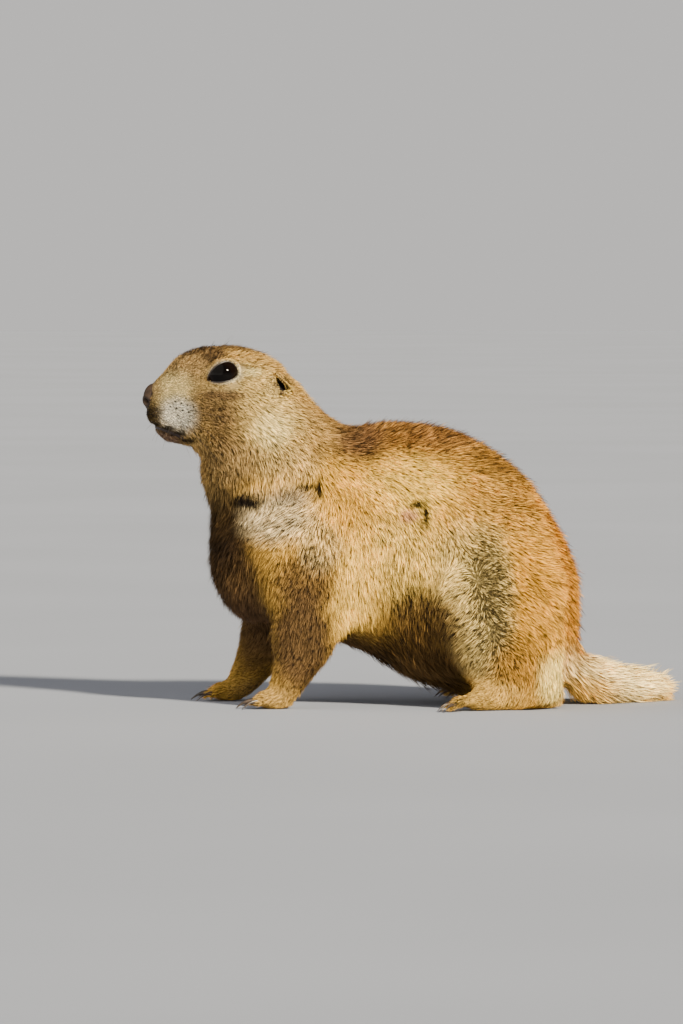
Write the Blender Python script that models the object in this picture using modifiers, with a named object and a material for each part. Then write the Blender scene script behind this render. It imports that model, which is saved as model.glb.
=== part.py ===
"""A life-size prairie dog crouching on its haunches, head raised, as a still museum model.

It faces -X, stands on the floor at z = 0 and is modelled to the tips of its coat.
Sizes are in millimetres until a vertex is made, where MM turns them into metres.
"""

import math
from typing import NamedTuple

import bmesh
import bpy
from mathutils import Euler, Matrix, Vector

MM = 0.001
GAP = 0.3
LEFT, RIGHT = -1, 1
SIDE_NAMES = {LEFT: "left", RIGHT: "right"}

# Driving sizes of the animal, from nose tip to the end of the tail
NOSE_X, CROWN_Z = -100.5, 151.5
BACK_Z = 119.5
FAR_STEP = 20.0

# The eye: a ball sunk in the head, seen through an almond slit between its lids
EYE_X, EYE_Y, EYE_Z = -66.8, 13.4, 139.0
EYE_RADIUS = 7.0
LID_THICKNESS = 1.0
EYE_WIDTH, EYE_ARCH, EYE_SAG = 12.8, 4.7, 3.6
SLIT_FRONT, SLIT_BACK = 0.8, 0.45
EYE_TILT, EYE_FORWARD, EYE_UP = 14.0, 12.0, 10.0

# The ear: a low round cup
EAR_X, EAR_Y, EAR_Z = -42.0, 19.6, 136.6
EAR_LONG, EAR_THICK, EAR_HIGH = 5.6, 3.6, 6.6
EAR_WALL = 1.1
EAR_TURN = (-16, 18, -24)
EAR_HOLLOW = (-1.6, 2.1, -0.6)

VOXEL_BODY, VOXEL_WHOLE = 2.0, 1.3
BODY_TRIANGLES = 3800


class Ring(NamedTuple):
    """One cross-section of a loft: its centre, its half width, and its reach on either side."""

    x: float
    y: float
    z: float
    side: float
    up: float
    down: float
    egg: float = 0.0


def upright(x, top, bottom, side, egg=0.0):
    """A ring of the body given by the heights of its top and bottom."""
    half = (top - bottom) / 2
    return Ring(x, 0, (top + bottom) / 2, side, half, half, egg)


TORSO = [
    upright(82.5, 55, 29, 13),
    upright(78, 67, 17, 24),
    upright(70, 82, 8, 33),
    upright(60, 96.5, 5, 39),
    upright(47, 107.5, 5, 42.5),
    upright(32, 115.5, 7, 43.5),
    upright(15, BACK_Z, 12, 42),
    upright(-2, BACK_Z, 20, 39),
    upright(-18, 116.5, 26, 36.5),
    upright(-32, 110, 32, 34),
    upright(-46, 102, 35, 30.5),
    upright(-58, 96, 35, 26),
    upright(-67, 90, 42, 19),
    upright(-73, 82, 54, 10),
]

NECK = [
    upright(-8, 114, 66, 30),
    upright(-17, 118.5, 60, 33),
    upright(-25, 123.5, 56, 33.5),
    upright(-32, 131.5, 55, 32.5),
    upright(-41, 138, 56, 31),
    upright(-52, 138, 61, 28.5),
    upright(-63, 131, 70, 24),
    upright(-72, 119, 81, 17),
    upright(-77, 112, 93, 9),
]

HEAD = [
    upright(-30, 128, 98, 17),
    upright(-36, 137, 96, 22.5),
    upright(-44, 144.5, 95, 25.5, 0.02),
    upright(-53, 149.5, 94.5, 26.5, 0.04),
    upright(-62, CROWN_Z, 96.5, 25, 0.05),
    upright(-71, CROWN_Z, 101, 21.5, 0.06),
    upright(-79, 150.5, 106, 17, 0.05),
    upright(-86, 147.5, 109.5, 12.8, 0.03),
    upright(-91, 142, 111.5, 10, 0.02),
    upright(-95, 137.2, 114, 8.2),
    upright(-98.5, 134.8, 118.5, 6.2),
    upright(NOSE_X, 132.5, 125, 3.4),
]

TAIL = [
    Ring(66, -4, 24, 10, 9, 9),
    Ring(77, 1, 17, 11.5, 9.5, 10),
    Ring(87, 7, 10.5, 12.5, 9, 10),
    Ring(97, 14, 8, 13, 9, 9),
    Ring(107, 21.5, 6.5, 11.5, 8, 7.5),
    Ring(115, 27.5, 5.2, 8, 5.5, 5.5),
    Ring(120, 31.5, 4.2, 4, 2.8, 3),
]

# The near foreleg, from the shoulder to the wrist
FORELEG = [
    Ring(-27, 21, 94, 9, 15, 14),
    Ring(-28, 24, 80, 12.5, 22, 21),
    Ring(-29, 25.5, 64, 14, 24.5, 25),
    Ring(-30, 26.5, 50, 13.5, 21.5, 21),
    Ring(-31, 27, 38, 12, 17.5, 17),
    Ring(-33.5, 27, 26, 10, 14, 13),
    Ring(-37, 27, 16, 7.6, 10, 9),
    Ring(-40.5, 27, 8.5, 6.6, 8, 7),
    Ring(-42, 27, 3.5, 6, 7, 6),
]

# The near hind leg, from the hip to the heel
HIND_LEG = [
    Ring(50, 22, 86, 12, 16, 16),
    Ring(49, 27, 70, 17, 26, 24),
    Ring(47.5, 31.5, 54, 18.5, 30, 30),
    Ring(48.5, 33.5, 40, 18.5, 27, 29),
    Ring(51, 34, 28, 17, 23.5, 26),
    Ring(55, 33, 17, 14, 19.5, 22),
    Ring(59, 31, 8, 11, 16, 17),
    Ring(61, 30, 1.5, 9.5, 14, 14),
]

# The hind foot, flat on the floor with its toes turned out
HIND_FOOT = [
    Ring(74, 23, 6, 5, 5, 5),
    Ring(66, 26.5, 6, 7, 6.5, 6.5),
    Ring(54, 32.5, 5.5, 7.2, 5.8, 5.8),
    Ring(42, 38.5, 4.6, 7.2, 4.8, 4.8),
    Ring(36, 41.5, 4.2, 6.4, 3.8, 4.2),
]

# Bosses that give the head its cheeks, whisker pads and brows: centre, radii
CHIN = ((-88.5, 0, 113.4), (5.5, 5, 3.4))
CHEEK = ((-58, 14.5, 112), (17.5, 12.5, 15.5))
WHISKER_PAD = ((-89.5, 4.8, 121.5), (7.5, 6, 7))
BROW = ((-67, 10.6, 145.2), (10, 4.8, 3.4))

MOUTH_LINE = [(-101, 118.6), (-96, 117.4), (-91, 115.8), (-86, 113.8), (-81.5, 110.8)]
MOUTH_SLIT = 0.7
NOSE_PAD = ((-99.2, 0, 128.8), (5.4, 6.0, 5.4))
NOSTRIL = ((-98.2, 4.2, 126.8), (3.0, 1.7, 1.3))
LIP_CLEFT = ((-100.6, 0, 120.6), (1.6, 0.6, 3.2))

# Seams across the body, each from its top (x, z) to its bottom
HEAD_SEAM = ((-29, 127), (-74, 90))
NECK_SEAM = ((-14, 117), (-74, 72))
RUMP_SEAM = ((44, 110), (72, 5))


class Region(NamedTuple):
    """Where a piece is parted from the body: a block or a ball, its turn, and its share of a step."""

    point: tuple
    size: tuple
    turn: tuple = (0, 0, 0)
    share: float = 0.0

    def on(self, side, step=0.0):
        """The region's place, size and turn on one side of the body, carried forward by a step."""
        x, y, z = self.point
        roll, pitch, yaw = self.turn
        return (x - step * self.share, y * side, z), self.size, (roll * side, pitch, yaw * side)


TAIL_BLOCK = Region((121.5, 31.3, 10), (42, 16, 25), (0, 0, 34))
THIGH_BALL = Region((48, 40, 38), (34, 27, 44))
SHOULDER_BALL = Region((-30, 40, 64), (28, 21, 30), (0, 11, 4), 0.35)
FOREARM_BALL = Region((-33, 27, 22), (22, 20, 26), (0, 0, 0), 0.7)
FOREPAW_BLOCK = Region((-45, 27, -6), (20, 14, 16), (0, -14, 0), 1.0)
HIND_PAW_BLOCK = Region((53, 33, -6), (32, 14, 14.5), (0, 0, -26))


class Paw(NamedTuple):
    """A foot's toes: where they start, their fan about a heading, the step across and their sizes."""

    root: tuple
    heading: float
    fan: tuple
    spread: float
    lengths: tuple
    toe_radius: float
    claw_length: float


FOREPAW = Paw(
    root=(-46, 27, 4.4),
    heading=4,
    fan=(-19, -6, 6, 19),
    spread=3.1,
    lengths=(7.5, 9.5, 9.5, 7.5),
    toe_radius=2.2,
    claw_length=6.5,
)
HIND_PAW = Paw(
    root=(36, 41.5, 4.2),
    heading=26,
    fan=(-22, -10, 0, 10, 21),
    spread=3.2,
    lengths=(7.0, 9.5, 10.5, 9.5, 7.0),
    toe_radius=2.2,
    claw_length=5.2,
)
PALM = ((-45, 27, 4.2), (8.5, 7.2, 4.6))

MATERIALS = {
    "back_fur": ((0.42, 0.23, 0.075), 0.9),
    "flank_fur": ((0.52, 0.34, 0.14), 0.9),
    "head_fur": ((0.46, 0.34, 0.19), 0.85),
    "leg_fur": ((0.55, 0.38, 0.17), 0.9),
    "tail_fur": ((0.66, 0.55, 0.38), 0.9),
    "ear_skin": ((0.5, 0.38, 0.22), 0.8),
    "nose_skin": ((0.06, 0.045, 0.04), 0.45),
    "eye": ((0.008, 0.006, 0.005), 0.08),
    "paw_skin": ((0.3, 0.2, 0.11), 0.7),
}


def clear_scene():
    """Removes everything, the startup cube included."""
    for obj in list(bpy.data.objects):
        bpy.data.objects.remove(obj, do_unlink=True)


def collection(name):
    """A new collection in the scene."""
    made = bpy.data.collections.new(name)
    bpy.context.scene.collection.children.link(made)
    return made


def link_mesh(bm, name):
    """An object of this bmesh, among the workpieces."""
    bmesh.ops.recalc_face_normals(bm, faces=bm.faces)
    mesh = bpy.data.meshes.new(name)
    bm.to_mesh(mesh)
    bm.free()
    obj = bpy.data.objects.new(name, mesh)
    obj.hide_render = True
    workpieces.objects.link(obj)
    return obj


def between(a, b, c, d, t):
    """Catmull-Rom blend from b to c."""
    return 0.5 * (
        2 * b + (c - a) * t + (2 * a - 5 * b + 4 * c - d) * t * t + (3 * b - a - 3 * c + d) * t**3
    )


def smooth_rings(rings, steps):
    """The rings with more between them, every size on one smooth curve."""
    last = len(rings) - 1
    fine = []
    for i in range(last):
        four = [rings[max(i - 1, 0)], rings[i], rings[i + 1], rings[min(i + 2, last)]]
        for step in range(steps):
            fine.append(Ring(*(between(*sizes, step / steps) for sizes in zip(*four))))
    return fine + [rings[last]]


def loft(name, rings, sides=28, steps=4, vertical=False):
    """A closed tube through the rings, each square to the line of their centres, or vertical."""
    fine = smooth_rings(rings, steps)
    centres = [Vector(ring[:3]) for ring in fine]
    bm = bmesh.new()
    loops = []
    for i, ring in enumerate(fine):
        tangent = (centres[min(i + 1, len(fine) - 1)] - centres[max(i - 1, 0)]).normalized()
        if vertical:
            tangent = Vector((-1, 0, 0))
        side = Vector((0, 1, 0))
        side = (side - side.dot(tangent) * tangent).normalized()
        up = side.cross(tangent)
        loop = []
        for k in range(sides):
            angle = math.tau * k / sides
            rise = math.sin(angle)
            across = side * (math.cos(angle) * ring.side * (1 - ring.egg * rise))
            along = up * (rise * (ring.up if rise > 0 else ring.down))
            loop.append(bm.verts.new((centres[i] + across + along) * MM))
        loops.append(loop)
    for one, other in zip(loops, loops[1:]):
        for k in range(sides):
            bm.faces.new((one[k - 1], one[k], other[k], other[k - 1]))
    for loop, centre in ((loops[0], centres[0]), (loops[-1], centres[-1])):
        pole = bm.verts.new(centre * MM)
        for k in range(sides):
            bm.faces.new((loop[k - 1], loop[k], pole))
    return link_mesh(bm, name)


def mirrored(rings, side, step=0.0):
    """Rings of a limb on this side of the body, carried forward by step at the floor."""
    top = rings[0].z
    return [
        ring._replace(x=ring.x - step * (1 - ring.z / top), y=ring.y * side) for ring in rings
    ]


def placed(point, radii, turn=(0, 0, 0)):
    """The matrix of a shape of these radii, turned by degrees and set at a point."""
    spin = Euler([math.radians(a) for a in turn]).to_matrix().to_4x4()
    size = Matrix.Diagonal((*(r * MM for r in radii), 1))
    return Matrix.Translation(Vector(point) * MM) @ spin @ size


def ball(name, point, radii, turn=(0, 0, 0), segments=24, rings=14):
    """An ellipsoid."""
    bm = bmesh.new()
    bmesh.ops.create_uvsphere(
        bm, u_segments=segments, v_segments=rings, radius=1, matrix=placed(point, radii, turn)
    )
    return link_mesh(bm, name)


def block(name, point, halves, turn=(0, 0, 0)):
    """A box given by its centre and half sizes."""
    bm = bmesh.new()
    bmesh.ops.create_cube(bm, size=2, matrix=placed(point, halves, turn))
    return link_mesh(bm, name)


def across_head(name, outline, height=40.0):
    """A prism over an outline of (x, z) points, from one side of the body to the other."""
    bm = bmesh.new()
    near = [bm.verts.new(Vector((x, -height, z)) * MM) for x, z in outline]
    face = bm.faces.new(near)
    side = bmesh.ops.extrude_face_region(bm, geom=[face])["geom"]
    moved = [v for v in side if isinstance(v, bmesh.types.BMVert)]
    bmesh.ops.translate(bm, verts=moved, vec=Vector((0, 2 * height, 0)) * MM)
    return link_mesh(bm, name)


def copy_of(obj, name):
    """A second object with its own mesh."""
    twin = bpy.data.objects.new(name, obj.data.copy())
    twin.hide_render = True
    workpieces.objects.link(twin)
    return twin


def discard(obj):
    """Removes a workpiece that has done its job."""
    bpy.data.objects.remove(obj, do_unlink=True)


def settle(obj):
    """Applies the object's modifiers to its mesh."""
    bpy.context.view_layer.update()
    graph = bpy.context.evaluated_depsgraph_get()
    mesh = bpy.data.meshes.new_from_object(obj.evaluated_get(graph))
    obj.modifiers.clear()
    obj.data = mesh
    return obj


def keep_largest(obj):
    """Leaves only the closed surface with the most volume."""
    bm = bmesh.new()
    bm.from_mesh(obj.data)
    left = set(bm.verts)
    groups = []
    while left:
        group, front = set(), [left.pop()]
        while front:
            vert = front.pop()
            group.add(vert)
            for edge in vert.link_edges:
                other = edge.other_vert(vert)
                if other in left:
                    left.discard(other)
                    front.append(other)
        groups.append(group)
    if len(groups) > 1:
        largest = max(groups, key=box_volume)
        spare = [vert for vert in bm.verts if vert not in largest]
        bmesh.ops.delete(bm, geom=spare, context="VERTS")
        bm.to_mesh(obj.data)
    bm.free()
    return obj


def box_volume(verts):
    """Volume of the box round some vertices."""
    volume = 1.0
    for axis in range(3):
        places = [vert.co[axis] for vert in verts]
        volume *= max(places) - min(places) + 1e-9
    return volume


def boolean(obj, other, operation, solver="EXACT"):
    """Cuts, joins or keeps the common part, and uses the other object up."""
    modifier = obj.modifiers.new(operation.title(), "BOOLEAN")
    modifier.object = other
    modifier.operation = operation
    modifier.solver = solver
    settle(obj)
    discard(other)
    return obj


def joined(obj, others):
    """One closed surface of the object and a list of closed pieces."""
    pieces = collection(obj.name + "_pieces")
    for other in others:
        workpieces.objects.unlink(other)
        pieces.objects.link(other)
    modifier = obj.modifiers.new("Join", "BOOLEAN")
    modifier.operand_type = "COLLECTION"
    modifier.collection = pieces
    modifier.operation = "UNION"
    modifier.solver = "EXACT"
    settle(obj)
    for other in others:
        discard(other)
    bpy.data.collections.remove(pieces)
    return keep_largest(obj)


def melted(name, pieces, voxel, rounds):
    """Overlapping pieces melted into one smooth skin."""
    bm = bmesh.new()
    for piece in pieces:
        bm.from_mesh(piece.data)
        discard(piece)
    obj = link_mesh(bm, name)
    remesh = obj.modifiers.new("Melt", "REMESH")
    remesh.mode = "VOXEL"
    remesh.voxel_size = voxel * MM
    smooth = obj.modifiers.new("Smooth", "SMOOTH")
    smooth.factor = 0.5
    smooth.iterations = rounds
    return keep_largest(settle(obj))


def thinned(obj, triangles):
    """The same skin with about this many triangles, closest where it bends most."""
    obj.data.calc_loop_triangles()
    decimate = obj.modifiers.new("Thin", "DECIMATE")
    decimate.ratio = triangles / len(obj.data.loop_triangles)
    return settle(obj)


def take(rest, name, region):
    """Parts the region from the rest of the body, with a gap, as a node of its own."""
    piece = boolean(copy_of(rest, name), region(0.0), "INTERSECT", "MANIFOLD")
    boolean(rest, region(GAP), "DIFFERENCE", "MANIFOLD")
    keep_largest(rest)
    return keep_largest(piece)


def stood(obj):
    """Cuts away what would sink below the floor, which leaves flats to rest on."""
    boolean(obj, block("floor", (0, 0, -50), (400, 400, 50)), "DIFFERENCE", "MANIFOLD")
    return keep_largest(obj)


def ball_region(point, radii, turn=(0, 0, 0), segments=20, rings=12):
    """A rounded region that can be grown by a margin."""
    return lambda margin: ball(
        "region", point, [r + margin for r in radii], turn, segments, rings
    )


def block_region(point, halves, turn=(0, 0, 0)):
    """A boxed region that can be grown by a margin."""
    return lambda margin: block("region", point, [h + margin for h in halves], turn)


def beyond(seam, ahead):
    """All of the body ahead of a seam, or behind it, as a region that can be grown by a margin."""
    (top_x, top_z), (low_x, low_z) = seam
    tilt = math.degrees(math.atan2(top_x - low_x, top_z - low_z))
    reach = 120.0
    middle = Vector(((top_x + low_x) / 2, 0, (top_z + low_z) / 2))
    away = Euler((0, math.radians(tilt), 0)).to_matrix() @ Vector((-reach if ahead else reach, 0, 0))
    return block_region(middle + away, (reach, reach, reach), (0, tilt, 0))


def whole_body():
    """The body to the tips of its coat, paws and all, as one skin."""
    limbs = [loft("torso", TORSO, vertical=True), loft("neck", NECK, vertical=True), loft("tail", TAIL)]
    for side in (LEFT, RIGHT):
        step = FAR_STEP if side == RIGHT else 0
        limbs.append(loft("foreleg", mirrored(FORELEG, side, step)))
        limbs.append(loft("hind_leg", mirrored(HIND_LEG, side)))
    body = melted("body", limbs, VOXEL_BODY, 12)
    pieces = [body, loft("head", HEAD, vertical=True)]
    pieces.append(ball("chin", *CHIN))
    for side in (LEFT, RIGHT):
        pieces.append(loft("hind_foot", mirrored(HIND_FOOT, side)))
        for point, radii in (CHEEK, WHISKER_PAD, BROW):
            pieces.append(ball("boss", (point[0], point[1] * side, point[2]), radii))
    return stood(thinned(melted("whole", pieces, VOXEL_WHOLE, 5), BODY_TRIANGLES))


def toe(start, heading, length, radius, claw_length):
    """A toe with a raised knuckle, and its claw."""
    ahead = Vector((-math.cos(heading), -math.sin(heading), 0))

    def along(distance, height, wide, tall):
        spot = Vector(start) + ahead * distance
        return Ring(spot.x, spot.y, height, wide, tall, tall)

    flesh = loft(
        "toe",
        [
            along(-3, 4.4, radius, radius),
            along(length * 0.45, 4.3, radius * 1.08, radius * 1.1),
            along(length * 0.8, 2.9, radius, radius * 0.95),
            along(length, 2.2, radius * 0.6, radius * 0.6),
        ],
        sides=7,
        steps=2,
    )
    claw = loft(
        "claw",
        [
            along(length * 0.75, 3.2, radius * 0.5, radius * 0.55),
            along(length + claw_length * 0.35, 3.4, radius * 0.4, radius * 0.5),
            along(length + claw_length * 0.75, 2.2, radius * 0.26, radius * 0.32),
            along(length + claw_length, 0.8, radius * 0.12, radius * 0.14),
        ],
        sides=5,
        steps=1,
    )
    return [flesh, claw]


def toes(paw, side, step):
    """All the toes of one foot, fanned about its heading."""
    made = []
    root = Vector(paw.root) - Vector((step, 0, 0))
    middle = (len(paw.fan) - 1) / 2
    for i, turn in enumerate(paw.fan):
        heading = math.radians(paw.heading)
        across = Vector((math.sin(heading), -math.cos(heading), 0))
        start = root + across * (middle - i) * paw.spread
        start.y *= side
        aim = math.radians(-(paw.heading + turn) * side)
        made += toe(start, aim, paw.lengths[i], paw.toe_radius, paw.claw_length)
    return made


def finish_node(obj, name, material):
    """Moves a finished piece among the animal's nodes and gives it its material."""
    obj.name = name
    obj.data.name = name
    obj.data.materials.clear()
    obj.data.materials.append(materials[material])
    obj.data.shade_smooth()
    obj.data.set_sharp_from_angle(angle=math.radians(50))
    workpieces.objects.unlink(obj)
    animal.objects.link(obj)
    obj.hide_render = False
    return obj


def make_materials():
    """The coat, skin and eye colours."""
    made = {}
    for name, (colour, roughness) in MATERIALS.items():
        material = bpy.data.materials.new(name)
        material.use_nodes = True
        shader = material.node_tree.nodes["Principled BSDF"]
        shader.inputs["Base Color"].default_value = (*colour, 1)
        shader.inputs["Roughness"].default_value = roughness
        shader.inputs["Metallic"].default_value = 0
        made[name] = material
    return made


def eye_frame(side):
    """The matrix of one eye: x back along the slit, y across the head, z up."""
    turn = Euler(
        [
            math.radians(EYE_UP) * side,
            math.radians(-EYE_TILT),
            math.radians(EYE_FORWARD) * side,
        ]
    )
    return Matrix.Translation(Vector((EYE_X, EYE_Y * side, EYE_Z)) * MM) @ turn.to_matrix().to_4x4()


def gape(share):
    """How far the lids part along the slit, from 0 at its front corner to 1 at its widest."""
    widest = SLIT_FRONT / (SLIT_FRONT + SLIT_BACK)
    peak = widest**SLIT_FRONT * (1 - widest) ** SLIT_BACK
    return share**SLIT_FRONT * (1 - share) ** SLIT_BACK / peak


def almond(side, points=10):
    """The opening between the lids, sharp in front and round behind, run outward from the eye."""
    shares = [(1 - math.cos(math.pi * i / (points - 1))) / 2 for i in range(points)]
    upper = [((share - 0.5) * EYE_WIDTH, EYE_ARCH * gape(share)) for share in shares]
    lower = [((share - 0.5) * EYE_WIDTH, -EYE_SAG * gape(share)) for share in shares[-2:0:-1]]
    outline = upper + lower
    bm = bmesh.new()
    near = [bm.verts.new(Vector((x, 0, z)) * MM) for x, z in outline]
    side_faces = bmesh.ops.extrude_face_region(bm, geom=[bm.faces.new(near)])["geom"]
    moved = [v for v in side_faces if isinstance(v, bmesh.types.BMVert)]
    bmesh.ops.translate(bm, verts=moved, vec=Vector((0, 15 * side, 0)) * MM)
    bmesh.ops.transform(bm, matrix=eye_frame(side), verts=bm.verts)
    return link_mesh(bm, "almond")


def part_lips(head):
    """Cuts the line of the mouth from side to side, and the cleft of the upper lip."""
    half = MOUTH_SLIT / 2
    above = [(x, z + half) for x, z in MOUTH_LINE]
    below = [(x, z - half) for x, z in reversed(MOUTH_LINE)]
    boolean(head, across_head("slit", above + below), "DIFFERENCE")
    boolean(head, ball("cleft", *LIP_CLEFT, segments=10, rings=8), "DIFFERENCE")


def carve_head(head):
    """Sockets, lids and mouth."""
    for side in (LEFT, RIGHT):
        centre = (EYE_X, EYE_Y * side, EYE_Z)
        lid = EYE_RADIUS + GAP + LID_THICKNESS
        boolean(head, ball("lid", centre, (lid,) * 3, segments=20, rings=12), "UNION")
        socket = EYE_RADIUS + GAP
        boolean(head, ball("socket", centre, (socket,) * 3, segments=20, rings=12), "DIFFERENCE")
        boolean(head, almond(side), "DIFFERENCE")
    part_lips(head)
    return keep_largest(head)


def swollen(obj, margin):
    """A copy of the object grown by a margin all round."""
    twin = copy_of(obj, "swollen")
    bm = bmesh.new()
    bm.from_mesh(twin.data)
    bm.normal_update()
    for vert in bm.verts:
        vert.co += vert.normal * margin * MM
    bm.to_mesh(twin.data)
    bm.free()
    return twin


def make_ear(side, head):
    """A low cup that opens outward and forward, its root set on the head."""
    roll, pitch, yaw = EAR_TURN
    turn = (roll * side, pitch, yaw * side)
    centre = Vector((EAR_X, EAR_Y * side, EAR_Z))
    ear = ball("ear", centre, (EAR_LONG, EAR_THICK, EAR_HIGH), turn, segments=16, rings=11)
    hollow = centre + Vector((EAR_HOLLOW[0], EAR_HOLLOW[1] * side, EAR_HOLLOW[2]))
    inner = (EAR_LONG - EAR_WALL, EAR_THICK - EAR_WALL * 0.4, EAR_HIGH - EAR_WALL)
    boolean(ear, ball("cup", hollow, inner, turn, segments=16, rings=11), "DIFFERENCE")
    boolean(ear, swollen(head, GAP), "DIFFERENCE")
    return keep_largest(ear)


def make_eye(side):
    """The ball of the eye."""
    centre = (EYE_X, EYE_Y * side, EYE_Z)
    turn = (90, 0, 0)
    return ball("eye", centre, (EYE_RADIUS,) * 3, turn, segments=18, rings=11)


def make_nose(rest):
    """The bare pad of the nose, with its nostrils."""
    nose = take(rest, "nose", ball_region(*NOSE_PAD, segments=16, rings=10))
    point, radii = NOSTRIL
    for side in (LEFT, RIGHT):
        place = (point[0], point[1] * side, point[2])
        cut = ball("nostril", place, radii, (0, -24, 24 * side), segments=10, rings=7)
        boolean(nose, cut, "DIFFERENCE")
    return keep_largest(nose)


def make_forepaw(rest, side, step):
    """A forepaw, from the wrist to the claws."""
    paw = take(rest, "forepaw", block_region(*FOREPAW_BLOCK.on(side, step)))
    point, radii = PALM
    palm = ball("palm", (point[0] - step, point[1] * side, point[2]), radii, segments=12, rings=8)
    return stood(joined(paw, [palm] + toes(FOREPAW, side, step)))


def make_hind_paw(rest, side):
    """A hind foot, flat from the heel to the claws."""
    paw = take(rest, "hind_paw", block_region(*HIND_PAW_BLOCK.on(side)))
    return stood(joined(paw, toes(HIND_PAW, side, 0)))


def build():
    """Models the body whole, then parts it into its nodes."""
    rest = whole_body()
    for side in (LEFT, RIGHT):
        name = SIDE_NAMES[side]
        step = FAR_STEP if side == RIGHT else 0
        paw = make_forepaw(rest, side, step)
        finish_node(paw, f"forepaw_{name}", "paw_skin")
        paw = make_hind_paw(rest, side)
        finish_node(paw, f"hind_paw_{name}", "paw_skin")
    tail = take(rest, "tail", block_region(*TAIL_BLOCK.on(RIGHT)))
    finish_node(tail, "tail", "tail_fur")
    finish_node(make_nose(rest), "nose", "nose_skin")
    head = take(rest, "head", beyond(HEAD_SEAM, ahead=True))
    for side in (LEFT, RIGHT):
        finish_node(make_ear(side, head), f"ear_{SIDE_NAMES[side]}", "ear_skin")
        finish_node(make_eye(side), f"eye_{SIDE_NAMES[side]}", "eye")
    finish_node(carve_head(head), "head", "head_fur")
    neck = take(rest, "neck", beyond(NECK_SEAM, ahead=True))
    finish_node(neck, "neck", "flank_fur")
    for side in (LEFT, RIGHT):
        name = SIDE_NAMES[side]
        step = FAR_STEP if side == RIGHT else 0
        thigh = take(rest, "thigh", ball_region(*THIGH_BALL.on(side)))
        finish_node(thigh, f"thigh_{name}", "flank_fur")
        shoulder = take(rest, "shoulder", ball_region(*SHOULDER_BALL.on(side, step)))
        finish_node(shoulder, f"shoulder_{name}", "flank_fur")
        forearm = take(rest, "forearm", ball_region(*FOREARM_BALL.on(side, step)))
        finish_node(forearm, f"forearm_{name}", "leg_fur")
    rump = take(rest, "rump", beyond(RUMP_SEAM, ahead=False))
    finish_node(rump, "rump", "back_fur")
    finish_node(rest, "torso", "flank_fur")


def centre_on_floor():
    """Moves the animal so that the middle of its box is over the origin."""
    corners = [vert.co for obj in animal.objects for vert in obj.data.vertices]
    low, high = (
        Vector([pick(corner[axis] for corner in corners) for axis in range(3)])
        for pick in (min, max)
    )
    shift = Vector((-(low.x + high.x) / 2, -(low.y + high.y) / 2, -low.z))
    for obj in animal.objects:
        obj.data.transform(Matrix.Translation(shift))


clear_scene()
animal = collection("prairie_dog")
workpieces = collection("workpieces")
workpieces.hide_render = True
materials = make_materials()
build()
centre_on_floor()
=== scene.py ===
"""The dressed look of a life-size prairie dog model: its skin, coat, face, claws, floor and light.

Sizes and places are in millimetres in the modeller's own frame, in which the animal faces -X and
its left side is -Y. place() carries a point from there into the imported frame, in metres.
"""

import logging
import math
from dataclasses import dataclass, field
from enum import Enum
from typing import Iterable, NamedTuple, Sequence

import bmesh
import bpy
import numpy as np
from mathutils import Euler, Matrix, Vector, noise
from mathutils.bvhtree import BVHTree
from mathutils.kdtree import KDTree


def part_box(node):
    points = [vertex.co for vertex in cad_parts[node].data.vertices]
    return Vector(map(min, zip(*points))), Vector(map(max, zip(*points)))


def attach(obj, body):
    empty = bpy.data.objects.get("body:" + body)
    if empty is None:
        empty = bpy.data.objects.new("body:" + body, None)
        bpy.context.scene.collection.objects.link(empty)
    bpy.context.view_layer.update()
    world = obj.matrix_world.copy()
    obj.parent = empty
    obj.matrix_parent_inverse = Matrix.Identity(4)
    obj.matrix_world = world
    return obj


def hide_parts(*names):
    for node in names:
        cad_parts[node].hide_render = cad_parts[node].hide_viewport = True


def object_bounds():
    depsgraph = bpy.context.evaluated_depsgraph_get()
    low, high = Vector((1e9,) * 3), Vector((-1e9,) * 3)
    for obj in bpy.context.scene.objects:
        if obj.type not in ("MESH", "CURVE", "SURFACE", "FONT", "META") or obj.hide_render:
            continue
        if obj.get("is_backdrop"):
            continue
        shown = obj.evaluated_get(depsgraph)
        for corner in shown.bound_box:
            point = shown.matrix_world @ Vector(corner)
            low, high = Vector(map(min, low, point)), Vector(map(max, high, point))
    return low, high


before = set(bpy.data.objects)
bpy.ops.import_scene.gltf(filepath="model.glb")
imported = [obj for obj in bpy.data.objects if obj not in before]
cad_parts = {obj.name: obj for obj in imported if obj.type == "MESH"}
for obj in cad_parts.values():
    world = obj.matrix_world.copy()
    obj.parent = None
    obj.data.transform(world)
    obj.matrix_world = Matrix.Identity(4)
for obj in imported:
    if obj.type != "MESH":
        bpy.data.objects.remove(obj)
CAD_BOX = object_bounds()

log = logging.getLogger("prairie_dog")

MM = 0.001
SEED = 20417

# The eye's ball as the solids have it, and the turn and size of the slit between its lids
EYE = (-66.8, 13.4, 139.0)
EYE_RADIUS = 7.0
EYE_TILT, EYE_FORWARD, EYE_UP = 20.0, 5.5, 2.4
EYE_WIDTH, EYE_ARCH, EYE_SAG = 12.8, 4.45, 3.35
SLIT_FRONT, SLIT_BACK = 0.8, 0.45

# Where the modeller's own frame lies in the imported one
_low, _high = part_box("eye_left")
SHIFT = (_low + _high) / 2 / MM - Vector((EYE[0], -EYE[1], EYE[2]))

Triple = tuple[float, float, float]


class Side(Enum):
    """The two sides of the body, with the sign of Y on each."""

    LEFT = -1
    RIGHT = 1

    @property
    def label(self) -> str:
        """The word that ends a node's name on this side."""
        return self.name.lower()


class Slot(Enum):
    """The record's material slots."""

    COAT = "coat"
    FACE = "face_fur"
    TAIL = "tail_fur"
    PAW = "paw"
    CLAW = "claw"
    NOSE = "nose_skin"
    EYE = "eye"
    WHISKER = "whisker"


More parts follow.
